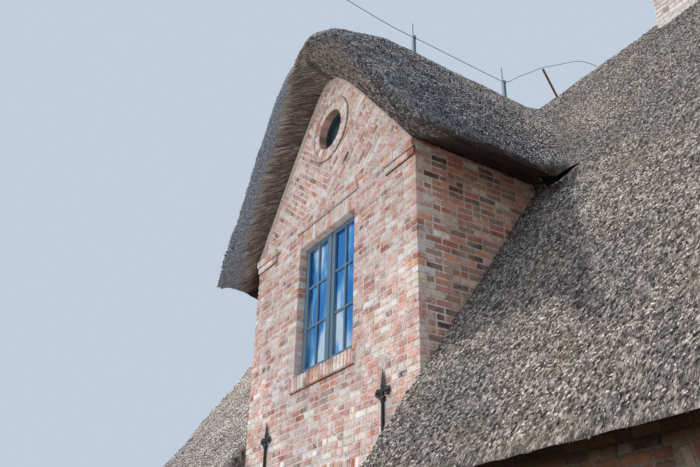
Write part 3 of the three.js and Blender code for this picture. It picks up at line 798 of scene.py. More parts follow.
# %% [markdown]
# ## Reed tips
# What the eye sees on a thatch is the cut end of each small bunch of reed, pointing down the
# slope. Hair or a geometry node tree could grow them; here plain arrays do, because the same
# seed then gives the same roof everywhere. First come the spots: each triangle gets its share
# of them by its area.

# %% Spots on a surface
dice = np.random.default_rng(20)


def triangles_of(piece):
    """Corners, normals and areas, sorted by place so that the draws always fall the same way."""
    mesh = piece.data
    mesh.calc_loop_triangles()
    flat = np.empty(len(mesh.loop_triangles) * 3, np.int64)
    mesh.loop_triangles.foreach_get("vertices", flat)
    corners = points_of(piece)[flat.reshape(-1, 3)]
    corners = corners[np.lexsort(np.round(corners.mean(1), 4).T)]
    cross = np.cross(corners[:, 1] - corners[:, 0], corners[:, 2] - corners[:, 0])
    area = np.linalg.norm(cross, axis=1) / 2
    return corners, cross / np.maximum(area[:, None] * 2, 1e-12), area


def scattered(piece, choose, density):
    """Random spots, so many to a square metre wherever choose says 1, and the normals there."""
    corners, normal, area = triangles_of(piece)
    wanted = area * density * choose(corners.mean(1), normal)
    count = np.floor(wanted + dice.random(len(wanted))).astype(int)
    pick = np.repeat(np.arange(len(wanted)), count)
    a, b = dice.random((2, len(pick)))
    flip = a + b > 1
    a[flip], b[flip] = 1 - a[flip], 1 - b[flip]
    c = corners[pick]
    spot = c[:, 0] + a[:, None] * (c[:, 1] - c[:, 0]) + b[:, None] * (c[:, 2] - c[:, 0])
    return spot, normal[pick]


def unit(v):
    """Vectors of length 1."""
    return v / np.maximum(np.linalg.norm(v, axis=1, keepdims=True), 1e-9)


# %% [markdown]
# One tip is a slim closed wedge of four faces that lifts off the coat at its end. It could be
# an instance of a single mesh, but then all would be one length. All tips of a coat are one
# mesh, filled in one go.

# %% Wedges of reed
def wedges(name, spot, normal, along, length, width, lift, tone, skin=tip_skin, sway=0.32):
    """One closed wedge of four faces on every spot, its tip along the way given."""
    n = len(spot)
    across = unit(np.cross(normal, along))
    way = unit(along + across * dice.normal(0, sway, n)[:, None])
    across = unit(np.cross(normal, way))
    size = (length * dice.uniform(0.6, 1.4, n))[:, None]
    half = width * dice.uniform(0.3, 0.75, n)[:, None]
    base = spot - normal * 0.012
    lift = np.broadcast_to(lift, n)[:, None]
    tip = spot + way * size + normal * (lift * dice.uniform(0.2, 1.6, n)[:, None])
    top = spot + normal * (0.4 * lift + 0.005) + way * size * 0.15
    verts = np.stack([base - across * half, base + across * half, top, tip], 1).reshape(-1, 3)
    first = np.arange(n)[:, None] * 4
    sides = ([0, 2, 1], [0, 3, 2], [2, 3, 1], [1, 3, 0])
    faces = np.stack([first + side for side in sides], 1).reshape(-1, 3)
    mesh = bpy.data.meshes.new(name)
    mesh.vertices.add(len(verts))
    mesh.vertices.foreach_set("co", verts.astype(np.float32).ravel())
    mesh.loops.add(len(faces) * 3)
    mesh.loops.foreach_set("vertex_index", faces.astype(np.int32).ravel())
    mesh.polygons.add(len(faces))
    mesh.polygons.foreach_set("loop_start", np.arange(len(faces), dtype=np.int32) * 3)
    mesh.update(calc_edges=True)
    piece = linked(name, mesh)
    shade = np.repeat(tone, 4).reshape(-1, 4) + np.array([-0.1, -0.1, 0.0, 0.12])
    store(piece, "tone", shade.ravel())
    store(piece, "cool_tint", np.repeat(cool_tint_at(spot), 4))
    mesh.materials.append(skin)
    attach(piece, "root")
    print(name, n, "tips")
    return piece


# %% [markdown]
# The main roof's tips are coarse, and the dormer's are finer and set closer. At the edges
# they lie short and flat, so that the outline stays as clean as a thatcher's shears leave it.

# %% Strew the tips
def on_top(middle, normal):
    """1 on every slope that looks up."""
    return (normal[:, 2] > 0.30).astype(float)


def downhill(spot, normal):
    """Down the slope, with a lean to the left on the main roof's front beside the dormer."""
    fall = np.array([0, 0, -1.0]) + normal * normal[:, 2:3]
    level = (np.linalg.norm(fall, axis=1) < 0.05)[:, None]
    lean = np.where(np.abs(spot[:, :1] - MIDDLE) > 2.4, -0.30, 0.0) * np.array([[1.0, 0, 0]])
    return unit(np.where(level, np.array([0, -1.0, 0]), unit(fall) + lean * (spot[:, 1:2] < 0)))


def near_verge(spot):
    """Near the dormer's front edge, where the tips are short and lie close."""
    return (spot[:, 1] < -4.35) & (np.abs(spot[:, 0] - MIDDLE) < 2.8) & (spot[:, 2] > 5.0)


def tips_on(piece, name, density, choose=on_top, long=0.043, wide=0.018, contrast=1.15):
    spot, normal = scattered(piece, choose, density)
    x, y, z = spot.T
    tone = 0.46 + contrast * (dice.beta(1.1, 1.3, len(spot)) - 0.46)
    # Painted highlight: tips on the front of the main roof far to the left are made much lighter, for the
    # glint of sun on them at a grazing angle.
    tone += np.where((x < -2.9) & (y < 0), 0.70, 0.0)
    if choose is of_dormer:
        tone += 0.22 * np.clip((y + 3.7) / 1.2, 0, 1) * np.clip((z - 7.0) / 1.0, 0, 1)
    at_edge = near_verge(spot) | (normal[:, 2] < 0.50) | (np.abs(y) > 5.15)
    lift, length = np.where(at_edge, 0.001, 0.008), np.where(at_edge, 0.024, long)
    return wedges(name, spot, normal, downhill(spot, normal), length, wide, lift, tone)


def of_dormer(middle, normal):
    on_dormer = dormer_top(middle[:, 0], middle[:, 1]) > main_top(middle[:, 1]) + 0.05
    return on_top(middle, normal) * (on_dormer & (middle[:, 2] > 5.3))


def of_main(middle, normal):
    return on_top(middle, normal) - of_dormer(middle, normal)


tips_on(coat_front_right, "tips_front_right", 960, of_main, 0.038, 0.0165)
tips_on(coat_front_right, "tips_dormer_right", 1750, of_dormer, 0.031, 0.0135, 1.8)
tips_on(coat_front_left, "tips_front_left", 450)
tips_on(coat_back_left, "tips_back_left", 210)
tips_on(coat_back_right, "tips_back_right", 210)


# %% [markdown]
# The edges get their own fringe: stalks that run out over the verges and hang at the eaves.
# The coat's normals could say where an edge is, but a dormer has edges of many kinds, so the
# place is asked as well as the normal.

# %% Fringe of the verges and eaves
# The dormer's side eaves, from the middle line, and a height just below them.
SIDE_EAVE, DORMER_FOOT = 2.3, 5.2


def at_gable_rim(middle):
    x, y, z = middle.T
    return (y < -4.39) & (np.abs(x - MIDDLE) < DORMER_EDGE) & (z > DORMER_FOOT)


def left_verge(middle):
    return at_gable_rim(middle) & (middle[:, 0] < MIDDLE + 0.1)


def rims(middle, normal):
    """The edges of the coat: eaves, ends, the dormer's side eaves and its right verge."""
    x, y, z = middle.T
    edge = (normal[:, 2] < 0.32) & (normal[:, 2] > -0.45)
    outside = (y < -4.55) | (y > 4.75) | (np.abs(x) > 5.98)
    right_verge = at_gable_rim(middle) & (normal[:, 2] < 0.35) & (x > MIDDLE + 0.1)
    outside &= ~left_verge(middle)
    outside |= (y < -2.4) & (np.abs(np.abs(x - MIDDLE) - SIDE_EAVE) < 0.35) & (z > 5.4)
    return ((edge & outside) | right_verge).astype(float)


def outward(spot, normal):
    """Away from the coat: over the gable's rim, past the ends, and down at the eaves."""
    way = np.zeros_like(spot)
    x, y, z = spot.T
    across = x - MIDDLE
    gable_rim = at_gable_rim(spot)
    way[:, 1] = np.where(gable_rim, -1.0, np.sign(y) * 0.6)
    way[:, 2] = np.where(gable_rim, -0.1, -0.8)
    end = (np.abs(x) > 5.95) & ~gable_rim
    way[end] = np.stack([np.sign(x[end]), np.zeros(end.sum()), -0.2 * np.ones(end.sum())], 1)
    side = (np.abs(np.abs(across) - SIDE_EAVE) < 0.4) & ~gable_rim & (z > 5.4) & (y < -2.2)
    way[side] = np.stack([np.sign(across[side]) * 0.6, np.zeros(side.sum()), -0.8 * np.ones(side.sum())], 1)
    flat = way - normal * (way * normal).sum(1)[:, None] * 0.75
    return unit(flat)


def fringe_on(piece, name, density):
    spot, normal = scattered(piece, rims, density)
    x, y, z = spot.T
    beside = (np.abs(np.abs(x - MIDDLE) - SIDE_EAVE) < 0.4) & (y > -4.30) & (y < -2.2)
    low = (z < 3.0) | (beside & (z > 5.3))
    tone = dice.beta(1.3, 1.5, len(spot)) * np.where(low, 0.55, 1.0)
    length = np.where(low, 0.017, 0.040)
    return wedges(name, spot, normal, outward(spot, normal), length, 0.015, 0.004, tone)


for coat, name, density in ((coat_front_right, "front_right", 800), (coat_front_left, "front_left", 800),
                            (coat_back_left, "back_left", 350), (coat_back_right, "back_right", 350)):
    fringe_on(coat, "fringe_" + name, density)


# %% [markdown]
# On the left verge the stalks themselves show, cut through and drawn inwards, with a grey rim
# outside them. The finish alone would look painted on from close by, so fine strokes of real
# geometry follow the same lines as the noise below them.

# %% Strokes on the left verge
def reed_lines(spot, normal):
    """Inwards along the reed of the left verge, on whichever face the spot lies."""
    share = np.clip((spot[:, 2] - 6.2) / 1.4, 0, 1)
    level = np.stack([0.18 + 0.22 * share, -0.90 + 0.51 * share, np.ones(len(spot))], 1)
    along = unit(np.cross(normal, level))
    return along * np.where(along @ np.array([0.5, 0.8, 0.0]) < 0, -1, 1)[:, None]


def cut_faces(middle, normal):
    """The left verge's cut reed, below the grey rim that follows the dormer's top."""
    depth = dormer_top(middle[:, 0], -4.0) - middle[:, 2]
    rim = 0.37 + 0.17 * np.clip((middle[:, 2] - 7.2) / 1.4, 0, 1)
    return (left_verge(middle) & (normal[:, 2] < 0.35) & (depth > rim)).astype(float)


def grey_rim(middle, normal):
    return (left_verge(middle) & (normal[:, 2] < 0.45)) - cut_faces(middle, normal)


def cut_strokes(piece, name):
    """Long thin strokes that lie inwards, along the cut reed."""
    spot, normal = scattered(piece, cut_faces, 1300)
    tone = dice.beta(1.3, 1.6, len(spot))
    return wedges(name, spot, normal, reed_lines(spot, normal), 0.17, 0.009, 0.002, tone, cut_skin, 0.05)


def rim_strokes(piece, name):
    """Short strokes that point downhill, on the grey rim."""
    spot, normal = scattered(piece, grey_rim, 1500)
    tone = 0.15 + 0.75 * dice.beta(2.0, 1.6, len(spot))
    return wedges(name, spot, normal, downhill(spot, normal), 0.030, 0.012, 0.002, tone, rim_skin, 0.05)


cut_strokes(coat_front_left, "cut_reed_left")
cut_strokes(coat_front_right, "cut_reed_crown")
rim_strokes(coat_front_left, "verge_rim_left")


# %% [markdown]
# ## Brickwork
# The CAD walls stay and play the mortar. Bricks are laid on them one by one, a few
# millimetres proud. No operator lays a bond, so each brick starts as an outline on the wall,
# which can be cut by a straight line as a mason cuts it, and gets its thickness at the end.

# %% Brick sizes and colours
# A brick's long and short face, a joint, and a course with its joint.
BRICK, HEADER, JOINT, COURSE = 0.199, 0.089, 0.021, 0.077
PALETTE = {
    "salmon": (0.60, 0.275, 0.20), "pink": (0.68, 0.42, 0.345), "cream": (0.72, 0.58, 0.46),
    "orange": (0.62, 0.29, 0.165), "umber": (0.33, 0.185, 0.135), "dark": (0.135, 0.072, 0.060),
    "red": (0.47, 0.165, 0.115), "white": (0.78, 0.69, 0.63),
}
BRIGHT = [0.28, 0.20, 0.11, 0.11, 0.08, 0.02, 0.10, 0.10]
MIXED = [0.20, 0.07, 0.05, 0.10, 0.20, 0.15, 0.20, 0.03]
PALE = [0.16, 0.26, 0.32, 0.05, 0.03, 0.0, 0.02, 0.16]
REVEAL = [0.10, 0.15, 0.10, 0.0, 0.65, 0.0, 0.0, 0.0]


dice = np.random.default_rng(31)


def brick_tone(odds):
    """A colour of the palette, drawn by these odds and varied a little."""
    base = np.array(list(PALETTE.values())[dice.choice(len(odds), p=odds)])
    return np.clip(base * dice.uniform(0.82, 1.2) * dice.uniform(0.94, 1.06, 3), 0, 1)


# %% [markdown]
# An outline is a short list of corners on the wall's plane. A mason cuts a brick with one
# straight blow, and a straight line is all that the cutting below knows. A boolean for every
# brick would do it as well, but there are thousands of them.

# %% Lay outlines on a wall
def clipped(outline, at, keep):
    """The part of an outline on the kept side of a straight line through at."""
    result = []
    for i, p in enumerate(outline):
        q = outline[(i + 1) % len(outline)]
        dp = (p[0] - at[0]) * keep[0] + (p[1] - at[1]) * keep[1]
        dq = (q[0] - at[0]) * keep[0] + (q[1] - at[1]) * keep[1]
        if dp >= 0:
            result.append(p)
        if (dp >= 0) != (dq >= 0):
            k = dp / (dp - dq)
            result.append((p[0] + (q[0] - p[0]) * k, p[1] + (q[1] - p[1]) * k))
    return result


def area_of(outline):
    return 0.5 * sum(p[0] * q[1] - q[0] * p[1] for p, q in zip(outline, outline[1:] + outline[:1]))


class Wall:
    """Brick outlines on one plane: out is the way it faces, along runs to the right."""

    def __init__(self, name, start, along, out, odds=MIXED):
        self.name, self.odds, self.bricks = name, odds, []
        self.start, self.along, self.out = (np.array(v, float) for v in (start, along, out))

    def brick(self, outline, proud=None, depth=0.004, odds=None):
        """Keep an outline as a brick, unless no more than a sliver of it is left."""
        if len(outline) < 3 or area_of(outline) < 0.0006:
            return
        proud = dice.uniform(0.0035, 0.0065) if proud is None else proud
        self.bricks.append((outline, proud, depth, brick_tone(odds or self.odds)))

    def box(self, u0, u1, z0, z1, **more):
        """One brick between these edges, its corners a little out of true."""
        jog = dice.normal(0, 0.0011, 8)
        self.brick([(u0 + jog[0], z0 + jog[1]), (u1 + jog[2], z0 + jog[3]), (u1 + jog[4], z1 + jog[5]),
                    (u0 + jog[6], z1 + jog[7])], **more)

    def run(self, u0, u1, z0, z1, cuts=(), **more):
        """A row of bricks from u0 to u1, each cut by the straight lines it crosses."""
        u = u0
        while u < u1 - 0.03:
            size = BRICK if dice.random() < 0.68 else HEADER
            left = u1 - u
            if left - size - JOINT < 0.06:
                size = left if left < 0.27 else (left - JOINT) / 2
            outline = [(u, z0), (u + size, z0), (u + size, z1), (u, z1)]
            for at, keep in cuts:
                outline = clipped(outline, at, keep)
            jog = dice.normal(0, 0.001, (len(outline), 2))
            self.brick([(p[0] + j[0], p[1] + j[1]) for p, j in zip(outline, jog)], **more)
            u += size + JOINT


# %% [markdown]
# An old brick has a worn edge that catches the light. A bevel modifier could round it; since
# the outline is known, a ring set a little inwards at the face does the same for nothing.

# %% From outlines to bricks
def mesh_of(wall, skin=None, worn_edge=True):
    """Give every outline its thickness: rings of points from behind the wall to the face."""
    points, faces, tones = [], [], []
    for outline, proud, depth, tone in wall.bricks:
        n, first = len(outline), len(points)
        cu = sum(p[0] for p in outline) / n
        cz = sum(p[1] for p in outline) / n
        rings = [(0.0, -depth), (0.0, proud - 0.003), (0.0035, proud)]
        if not worn_edge:
            rings = [(0.0, -depth), (0.002, proud)]
        for inset, height in rings:
            for u, z in outline:
                away = math.hypot(u - cu, z - cz)
                k = 1 - inset * 1.3 / max(away, 0.01)
                spot = wall.start + wall.along * (cu + (u - cu) * k) + wall.out * height
                points.append((spot[0], spot[1], spot[2] + cz + (z - cz) * k))
        last = first + (len(rings) - 1) * n
        faces.append(list(range(last, last + n)))
        faces.append(list(range(first + n - 1, first - 1, -1)))
        for ring_start in range(first, last, n):
            for i in range(n):
                a, b = ring_start + i, ring_start + (i + 1) % n
                faces.append([a, b, b + n, a + n])
        tones += [tone] * (len(rings) * n)
    mesh = bpy.data.meshes.new(wall.name)
    mesh.from_pydata(points, [], faces)
    if float(np.dot(np.cross(wall.along, (0, 0, 1)), wall.out)) < 0:
        mesh.flip_normals()
    layer = mesh.color_attributes.new("tone", "FLOAT_COLOR", "POINT")
    flat = np.ones((len(points), 4), np.float32)
    flat[:, :3] = np.array(tones)
    layer.data.foreach_set("color", flat.ravel())
    # Walls with the MIXED odds get the darker, warmer brick, which is partly painted shade.
    mesh.materials.append(skin or (warm_shaded_brick if wall.odds is MIXED else brick_skin))
    piece = linked(wall.name, mesh)
    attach(piece, "root")
    print(wall.name, len(wall.bricks), "bricks")
    return piece


# %% [markdown]
# An opening has soldiers standing in a flat or slightly risen arch over it and a sill of
# bricks on edge. They could be modelled as one block with lines on it, but each brick tells
# its own story of heat and lime, so they are laid one by one like the rest.

# %% Openings
# Window openings, by kind: half the width, the sill and the spring. The back door's likewise.
GABLE_WINDOW = (0.670, 4.006, 5.772)
LOW_WINDOW = (0.575, 0.850, 1.990)
UPPER_WINDOW = (0.480, 3.900, 5.300)
DOOR = (0.500, 0.150, 2.150)


class Opening:
    """A window or door in the wall's own measures, with a flat head or one that rises."""

    def __init__(self, middle, half, sill, spring, rise, lintel=0.210, sill_height=0.072):
        self.middle, self.half, self.sill, self.spring, self.rise = middle, half, sill, spring, rise
        self.lintel, self.sill_height = lintel, sill_height
        self.radius = (half * half + rise * rise) / (2 * rise) if rise else None

    def head(self, u, lift=0.0):
        if not self.rise:
            return self.spring + lift
        away = min(abs(u - self.middle), self.half + 0.12)
        centre = self.spring + self.rise - self.radius
        return centre + math.sqrt((self.radius + lift) ** 2 - away * away)


def upright(middle, half):
    """The two edges of every brick in a row of bricks that stand side by side."""
    count = round(2 * half / COURSE)
    step = 2 * half / count
    for i in range(count):
        u0 = middle - half + i * step + JOINT / 2
        yield u0, u0 + step - JOINT


def arch_bricks(wall, hole):
    """Soldiers over the opening, which lean outwards where its head rises."""
    for u0, u1 in upright(hole.middle, hole.half):
        lean = (0.5 * (u0 + u1) - hole.middle) / hole.radius * hole.lintel if hole.rise else 0.0
        top = [(u1 + lean, hole.head(u1, hole.lintel)), (u0 + lean, hole.head(u0, hole.lintel))]
        wall.brick([(u0, hole.head(u0) - 0.003), (u1, hole.head(u1) - 0.003)] + top, depth=0.100)


def sill_bricks(wall, hole):
    """Bricks on edge under the opening, a little wider than it is."""
    for u0, u1 in upright(hole.middle, hole.half + 0.05):
        wall.box(u0, u1, hole.sill - hole.sill_height, hole.sill + 0.004,
                 proud=0.036 + dice.uniform(0, 0.004), depth=0.098)


# %% [markdown]
# A course runs from corner to corner. It leaves room for the corner blocks, stops at each
# opening with a jamb brick that reaches back into the reveal, and gives way to the arch.

# %% Lay the courses
# Tops of the long walls and of the dormer's cheeks, and the foot of the gable's kneelers.
WALL_TOP, KNEE, KNEELER_FOOT = 2.459, 6.051, 5.852


def reach_of(hole, low, high):
    """How far an opening, with its sill or arch, pushes a course aside: 0 above and below it."""
    if high <= hole.sill - hole.sill_height + 0.012 or low >= hole.head(hole.middle, hole.lintel):
        return 0
    if low < hole.sill:
        return hole.half + 0.05
    if low < hole.spring - 0.02:
        return hole.half
    wide = hole.half + (0.07 if hole.rise else 0.0)
    if hole.rise and low > hole.spring + hole.lintel - 0.12:
        edge = 0.0
        while edge < hole.half + 0.1 and hole.head(hole.middle + edge, hole.lintel) > low:
            edge += 0.01
        wide = min(wide, edge)
    return wide


def lay_courses(wall, u0, u1, z0, z1, holes=(), cuts=(), corners=(False, False), phase=0):
    """Level courses from z0 to z1, toothed at the corners and stopped at the openings."""
    row = math.floor(z0 / COURSE + 1e-6)
    while row * COURSE < z1 - 0.02:
        low = max(row * COURSE + JOINT / 2, z0)
        high = min(row * COURSE + COURSE - JOINT / 2, z1)
        toothed = (BRICK if (row + phase) % 2 else HEADER) + JOINT - 0.004
        stops = [(u0 + (toothed if corners[0] else 0.0), False)]
        for hole in sorted(holes, key=lambda h: h.middle):
            wide = reach_of(hole, low, high)
            if wide and high - low > 0.012:
                gap = JOINT if low >= hole.spring - 0.02 else -0.003
                stops += [(hole.middle - wide - gap, True), (hole.middle + wide + gap, True)]
        stops.append((u1 - (toothed if corners[1] else 0.0), False))
        beside_hole = any(h.sill - 0.01 <= low < h.spring - 0.02 for h in holes)
        first = BRICK if row % 2 else HEADER
        for (a, jamb_left), (b, jamb_right) in zip(stops[::2], stops[1::2]):
            if b - a < 0.04 or high - low < 0.012:
                continue
            room_for_jambs = beside_hole and b - a > 0.5
            from_u, to_u = a, b
            if jamb_left and room_for_jambs:
                wall.box(a, a + first, low, high, depth=0.100)
                from_u = a + first + JOINT
            if jamb_right and room_for_jambs:
                wall.box(b - first, b, low, high, depth=0.100)
                to_u = b - first - JOINT
            wall.run(from_u, to_u, low, high, cuts)
        row += 1


# %% [markdown]
# A corner brick shows its long side on one wall and its short side on the other, turn about
# from course to course. Two walls could each bring their half, but a seam would show on the
# edge. It is one block, so it is laid with the corner and not with a wall.

# %% Corner bricks
def corner(name, x, y, sx, sy, z0, z1, odds=MIXED):
    """A stack of corner blocks: sx and sy point out of the two walls; odd rows lie along X."""
    stack = Wall(name, (0, y, 0), (1, 0, 0), (0, sy, 0), odds)
    proud = 0.008
    row = math.floor(z0 / COURSE + 1e-6)
    while row * COURSE < z1 - 0.03:
        low = max(z0, row * COURSE + JOINT / 2)
        high = min(z1, row * COURSE + COURSE - JOINT / 2)
        wide, deep = (BRICK, HEADER) if row % 2 else (HEADER, BRICK)
        u_out, u_in = x + sx * proud, x + sx * (proud - wide)
        stack.box(min(u_out, u_in), max(u_out, u_in), low, high, proud=proud, depth=deep - proud)
        row += 1
    return mesh_of(stack)


# %% [markdown]
# ### The gable wall
# Level courses run up past the kneelers. The rake above them is a straight line with a
# rounded top. A curve could cut the bricks there, but a mason's cuts are straight, so the
# rake is followed by a handful of straight ones.

# %% Level courses of the gable
GABLE_PLANE = ((MIDDLE, FACE, 0), (1, 0, 0), (0, -1, 0))
gable = Wall("gable_bricks", *GABLE_PLANE, BRIGHT)
big_window = Opening(0, *GABLE_WINDOW, 0, 0.223, 0.160)
entrance = Opening(0, 0.900, 0.150, 2.620, 0.055, sill_height=0)

# Where the corner blocks start, where tumbling starts, and how far out the courses run
# beside the kneelers. Then the rake, a rounded angle like the roofs, and the places along it
# where its curve is cut straight.
CORNER_FOOT, TUMBLE, TO_KNEELER = 2.541, 6.237, GABLE - 0.562
RAKE_APEX, RAKE_FALL, RAKE_ROUND = 8.484, 1.28, 0.300
RAKE = [0.0, 0.06, 0.16, 0.32, 0.56, 0.90, 1.30, 1.60, 1.877]


def rake_at(u):
    return RAKE_APEX - RAKE_FALL * math.hypot(u, RAKE_ROUND)


def into_wall(u):
    """The way square to the rake and into the wall, at u."""
    slope = -RAKE_FALL * u / math.hypot(u, RAKE_ROUND)
    long = math.hypot(1, slope)
    return slope / long, -1 / long


def rake_cuts(margin):
    """Straight cuts that follow the rake, this far inside it."""
    cuts = []
    for u in RAKE + [-v for v in RAKE[1:]]:
        keep = into_wall(u)
        cuts.append(((u + keep[0] * margin, rake_at(u) + keep[1] * margin), keep))
    return cuts


lay_courses(gable, -GABLE, GABLE, 0.0, CORNER_FOOT, [entrance])
lay_courses(gable, -GABLE, GABLE, CORNER_FOOT, KNEELER_FOOT, [entrance, big_window], corners=(True, True))
lay_courses(gable, -TO_KNEELER, TO_KNEELER, KNEELER_FOOT, 6.006, [big_window])

# One course stands beside the ends of the label, and the last ones are cut along the rake.
gable.run(-TO_KNEELER, -0.836, 6.015, 6.074)
gable.run(0.836, TO_KNEELER, 6.015, 6.074)
lay_courses(gable, -GABLE, GABLE, 6.083, TUMBLE, cuts=rake_cuts(0.012))
arch_bricks(gable, big_window)
arch_bricks(gable, entrance)


# %% [markdown]
# Above the kneelers the bricks are tumbled in: each half is laid square to its rake, and the
# two halves meet in a zigzag on the middle line. Level courses would be simpler, but every
# one would end in a thin slanting sliver at the thatch. The round window has a ring of pale
# bricks with a thin raised hood round it.

# %% Tumbled fields and the round window
# The height of the round window's middle, and how far from it bricks are cut. The hood
# covers the cut.
ROUND_MIDDLE, HOOD = 7.282, 0.452


def tumbled(wall, side):
    """Courses square to one rake, cut at the rake, the middle line and the round window's ring."""
    long = math.hypot(1, RAKE_FALL)
    course = np.array([side * RAKE_FALL, 1.0]) / long
    fall = np.array([side * 1.0, -RAKE_FALL]) / long
    cuts = rake_cuts(0.010) + [((side * JOINT / 2, 0), (side, 0)), ((0, TUMBLE + JOINT / 2), (0, 1))]
    for row in range(-40, 60):
        t0, t1 = row * COURSE + JOINT / 2, (row + 1) * COURSE - JOINT / 2
        s = -3.0 + dice.uniform(0, 0.2)
        while s < 3.4:
            size = BRICK if dice.random() < 0.7 else HEADER
            corners = []
            for a, b in ((s, t1), (s + size, t1), (s + size, t0), (s, t0)):
                p = np.array([0, 7.0]) + course * a + fall * b
                corners.append((float(p[0]), float(p[1])))
            if side < 0:
                corners.reverse()
            s += size + JOINT
            for at, keep in cuts:
                corners = clipped(corners, at, keep)
            if len(corners) < 3:
                continue
            cu = sum(p[0] for p in corners) / len(corners)
            cz = sum(p[1] for p in corners) / len(corners) - ROUND_MIDDLE
            far = math.hypot(cu, cz)
            if far < 0.36:
                continue
            way = (cu / far, cz / far)
            if far < 0.75:
                corners = clipped(corners, (way[0] * HOOD, ROUND_MIDDLE + way[1] * HOOD), way)
            wall.brick(corners)


def ring(wall, r0, r1, count, proud, depth, odds, gap=0.07):
    """Bricks between two circles round the middle of the round window."""
    for i in range(count):
        a0 = 2 * math.pi * (i + gap) / count
        a1 = 2 * math.pi * (i + 1 - gap) / count
        turns = (a1, (a0 + a1) / 2, a0)
        outline = [(r0 * math.cos(a), r0 * math.sin(a) + ROUND_MIDDLE) for a in turns]
        outline += [(r1 * math.cos(a), r1 * math.sin(a) + ROUND_MIDDLE) for a in turns[::-1]]
        wall.brick(outline, proud=proud + dice.uniform(0, 0.003), depth=depth, odds=odds)


tumbled(gable, 1)
tumbled(gable, -1)
ring(gable, 0.287, 0.398, 26, 0.008, 0.100, PALE)
ring(gable, 0.405, 0.464, 30, 0.026, 0.004, PALE)
reveal = Wall("round_reveal", *GABLE_PLANE, MIXED)
ring(reveal, 0.2805, 0.2875, 15, -0.002, 0.112, REVEAL, 0.01)
mesh_of(reveal, worn_edge=False)


# %% [markdown]
# A kneeler is the stepped foot of a rake, here two ledges of brick. A label course with a
# drop at each end sheds rain past the window. The dark line under every ledge, under the sill and
# round the round window's ring is painted shadow: thin dark strips that stay when the light moves.

# %% Kneelers, label and sill of the gable
LEDGE = [0.22, 0.26, 0.24, 0.02, 0.02, 0.0, 0.04, 0.20]
# Painted shadow: thin dark strips stand for the shadow lines under the kneelers' ledges, the label and the
# sill.
shade_strips = Wall("painted_shadow_lines", *GABLE_PLANE)


def cast_shadow_line(u0, u1, z0, z1, proud=0.009):
    shade_strips.brick([(u0, z0), (u1, z0), (u1, z1), (u0, z1)], proud=proud, depth=0.002)


def trims():
    """The kneelers' two ledges, the label with its drops, the sill, and strips of painted shadow below them
    and round the round window's ring.
    """
    # Painted shadow: two thin dark rings for the shadow lines round the round window's ring.
    ring(shade_strips, 0.397, 0.4045, 16, 0.011, 0.002, None, 0.0)
    ring(shade_strips, 0.463, 0.4715, 16, 0.008, 0.002, None, 0.0)
    for side in (-1, 1):
        u0, u1 = sorted((side * (GABLE - 0.552), side * (GABLE + 0.004)))
        gable.run(u0, u1, 5.866, 5.942, proud=0.032, odds=LEDGE)
        gable.run(u0, u1, 5.956, 6.036, proud=0.057, odds=LEDGE)
        cast_shadow_line(u0, u1, 5.855, 5.866)
        cast_shadow_line(u0, u1, 5.942, 5.956, 0.033)
    gable.run(-0.744, 0.744, 6.003, 6.063, proud=0.034, odds=LEDGE)
    cast_shadow_line(-0.75, 0.75, 5.990, 6.003)
    cast_shadow_line(-0.72, 0.72, 3.830, 3.842)
    for side in (-1, 1):
        a, b = side * 0.748, side * 0.822
        drop = [(a, 6.060), (a, 5.998), (b, 5.925), (b + side * 0.012, 5.975)]
        gable.brick(drop if side < 0 else drop[::-1], proud=0.030)
    for u0, u1 in upright(0, 0.720):
        gable.box(u0, u1, 3.842, 4.0065, proud=0.046 + dice.uniform(0, 0.004), depth=0.098)


trims()
mesh_of(gable)
mesh_of(shade_strips, shade_strip_skin, worn_edge=False)
corner("corner_gable_right", MIDDLE + GABLE, FACE, 1, -1, CORNER_FOOT, KNEELER_FOOT, BRIGHT)
corner("corner_gable_left", MIDDLE - GABLE, FACE, -1, -1, CORNER_FOOT, KNEELER_FOOT, BRIGHT)


# %% [markdown]
# Where the thatch leaves the gable a mason ran a slim fillet of mortar along the rake, to keep
# the wind out. A curve with a bevel could make it; one three-sided strip, set out point by
# point along the rake, stays exactly in the corner.

# %% Mortar fillet along the rake
def rake_fillet():
    stations = sorted([-v for v in RAKE[1:]] + RAKE)
    points, faces = [], []
    for u in stations:
        across, down = into_wall(u)
        inner = Vector((across, 0, down)) * 0.040
        base = Vector((MIDDLE + u, FACE + 0.003, rake_at(u) + 0.004))
        points += [base, base + inner, base + Vector((0, -0.040, 0))]
    for i in range(len(stations) - 1):
        a = i * 3
        faces += [[a, a + 1, a + 4, a + 3], [a + 1, a + 2, a + 5, a + 4], [a + 2, a, a + 3, a + 5]]
    faces += [[0, 2, 1], [len(points) - 3, len(points) - 2, len(points) - 1]]
    mesh = bpy.data.meshes.new("rake_fillet")
    mesh.from_pydata(points, [], faces)
    piece = linked("rake_fillet", mesh)
    edit(piece)
    bpy.ops.mesh.normals_make_consistent(inside=False)
    leave_edit()
    mesh.materials.append(brown_shaded_mortar)
    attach(piece, "root")
    print("rake fillet", len(points), "points")


rake_fillet()


# %% [markdown]
# ### Cheeks
# The dormer's side walls rise out of the main roof. They are out of the sun and have more
# burnt bricks; their darker brick and mortar are partly painted shade. Courses start a little
# below the thatch, which hides their cut ends. Fitting each end to the wavy thatch would take
# long and show nothing.

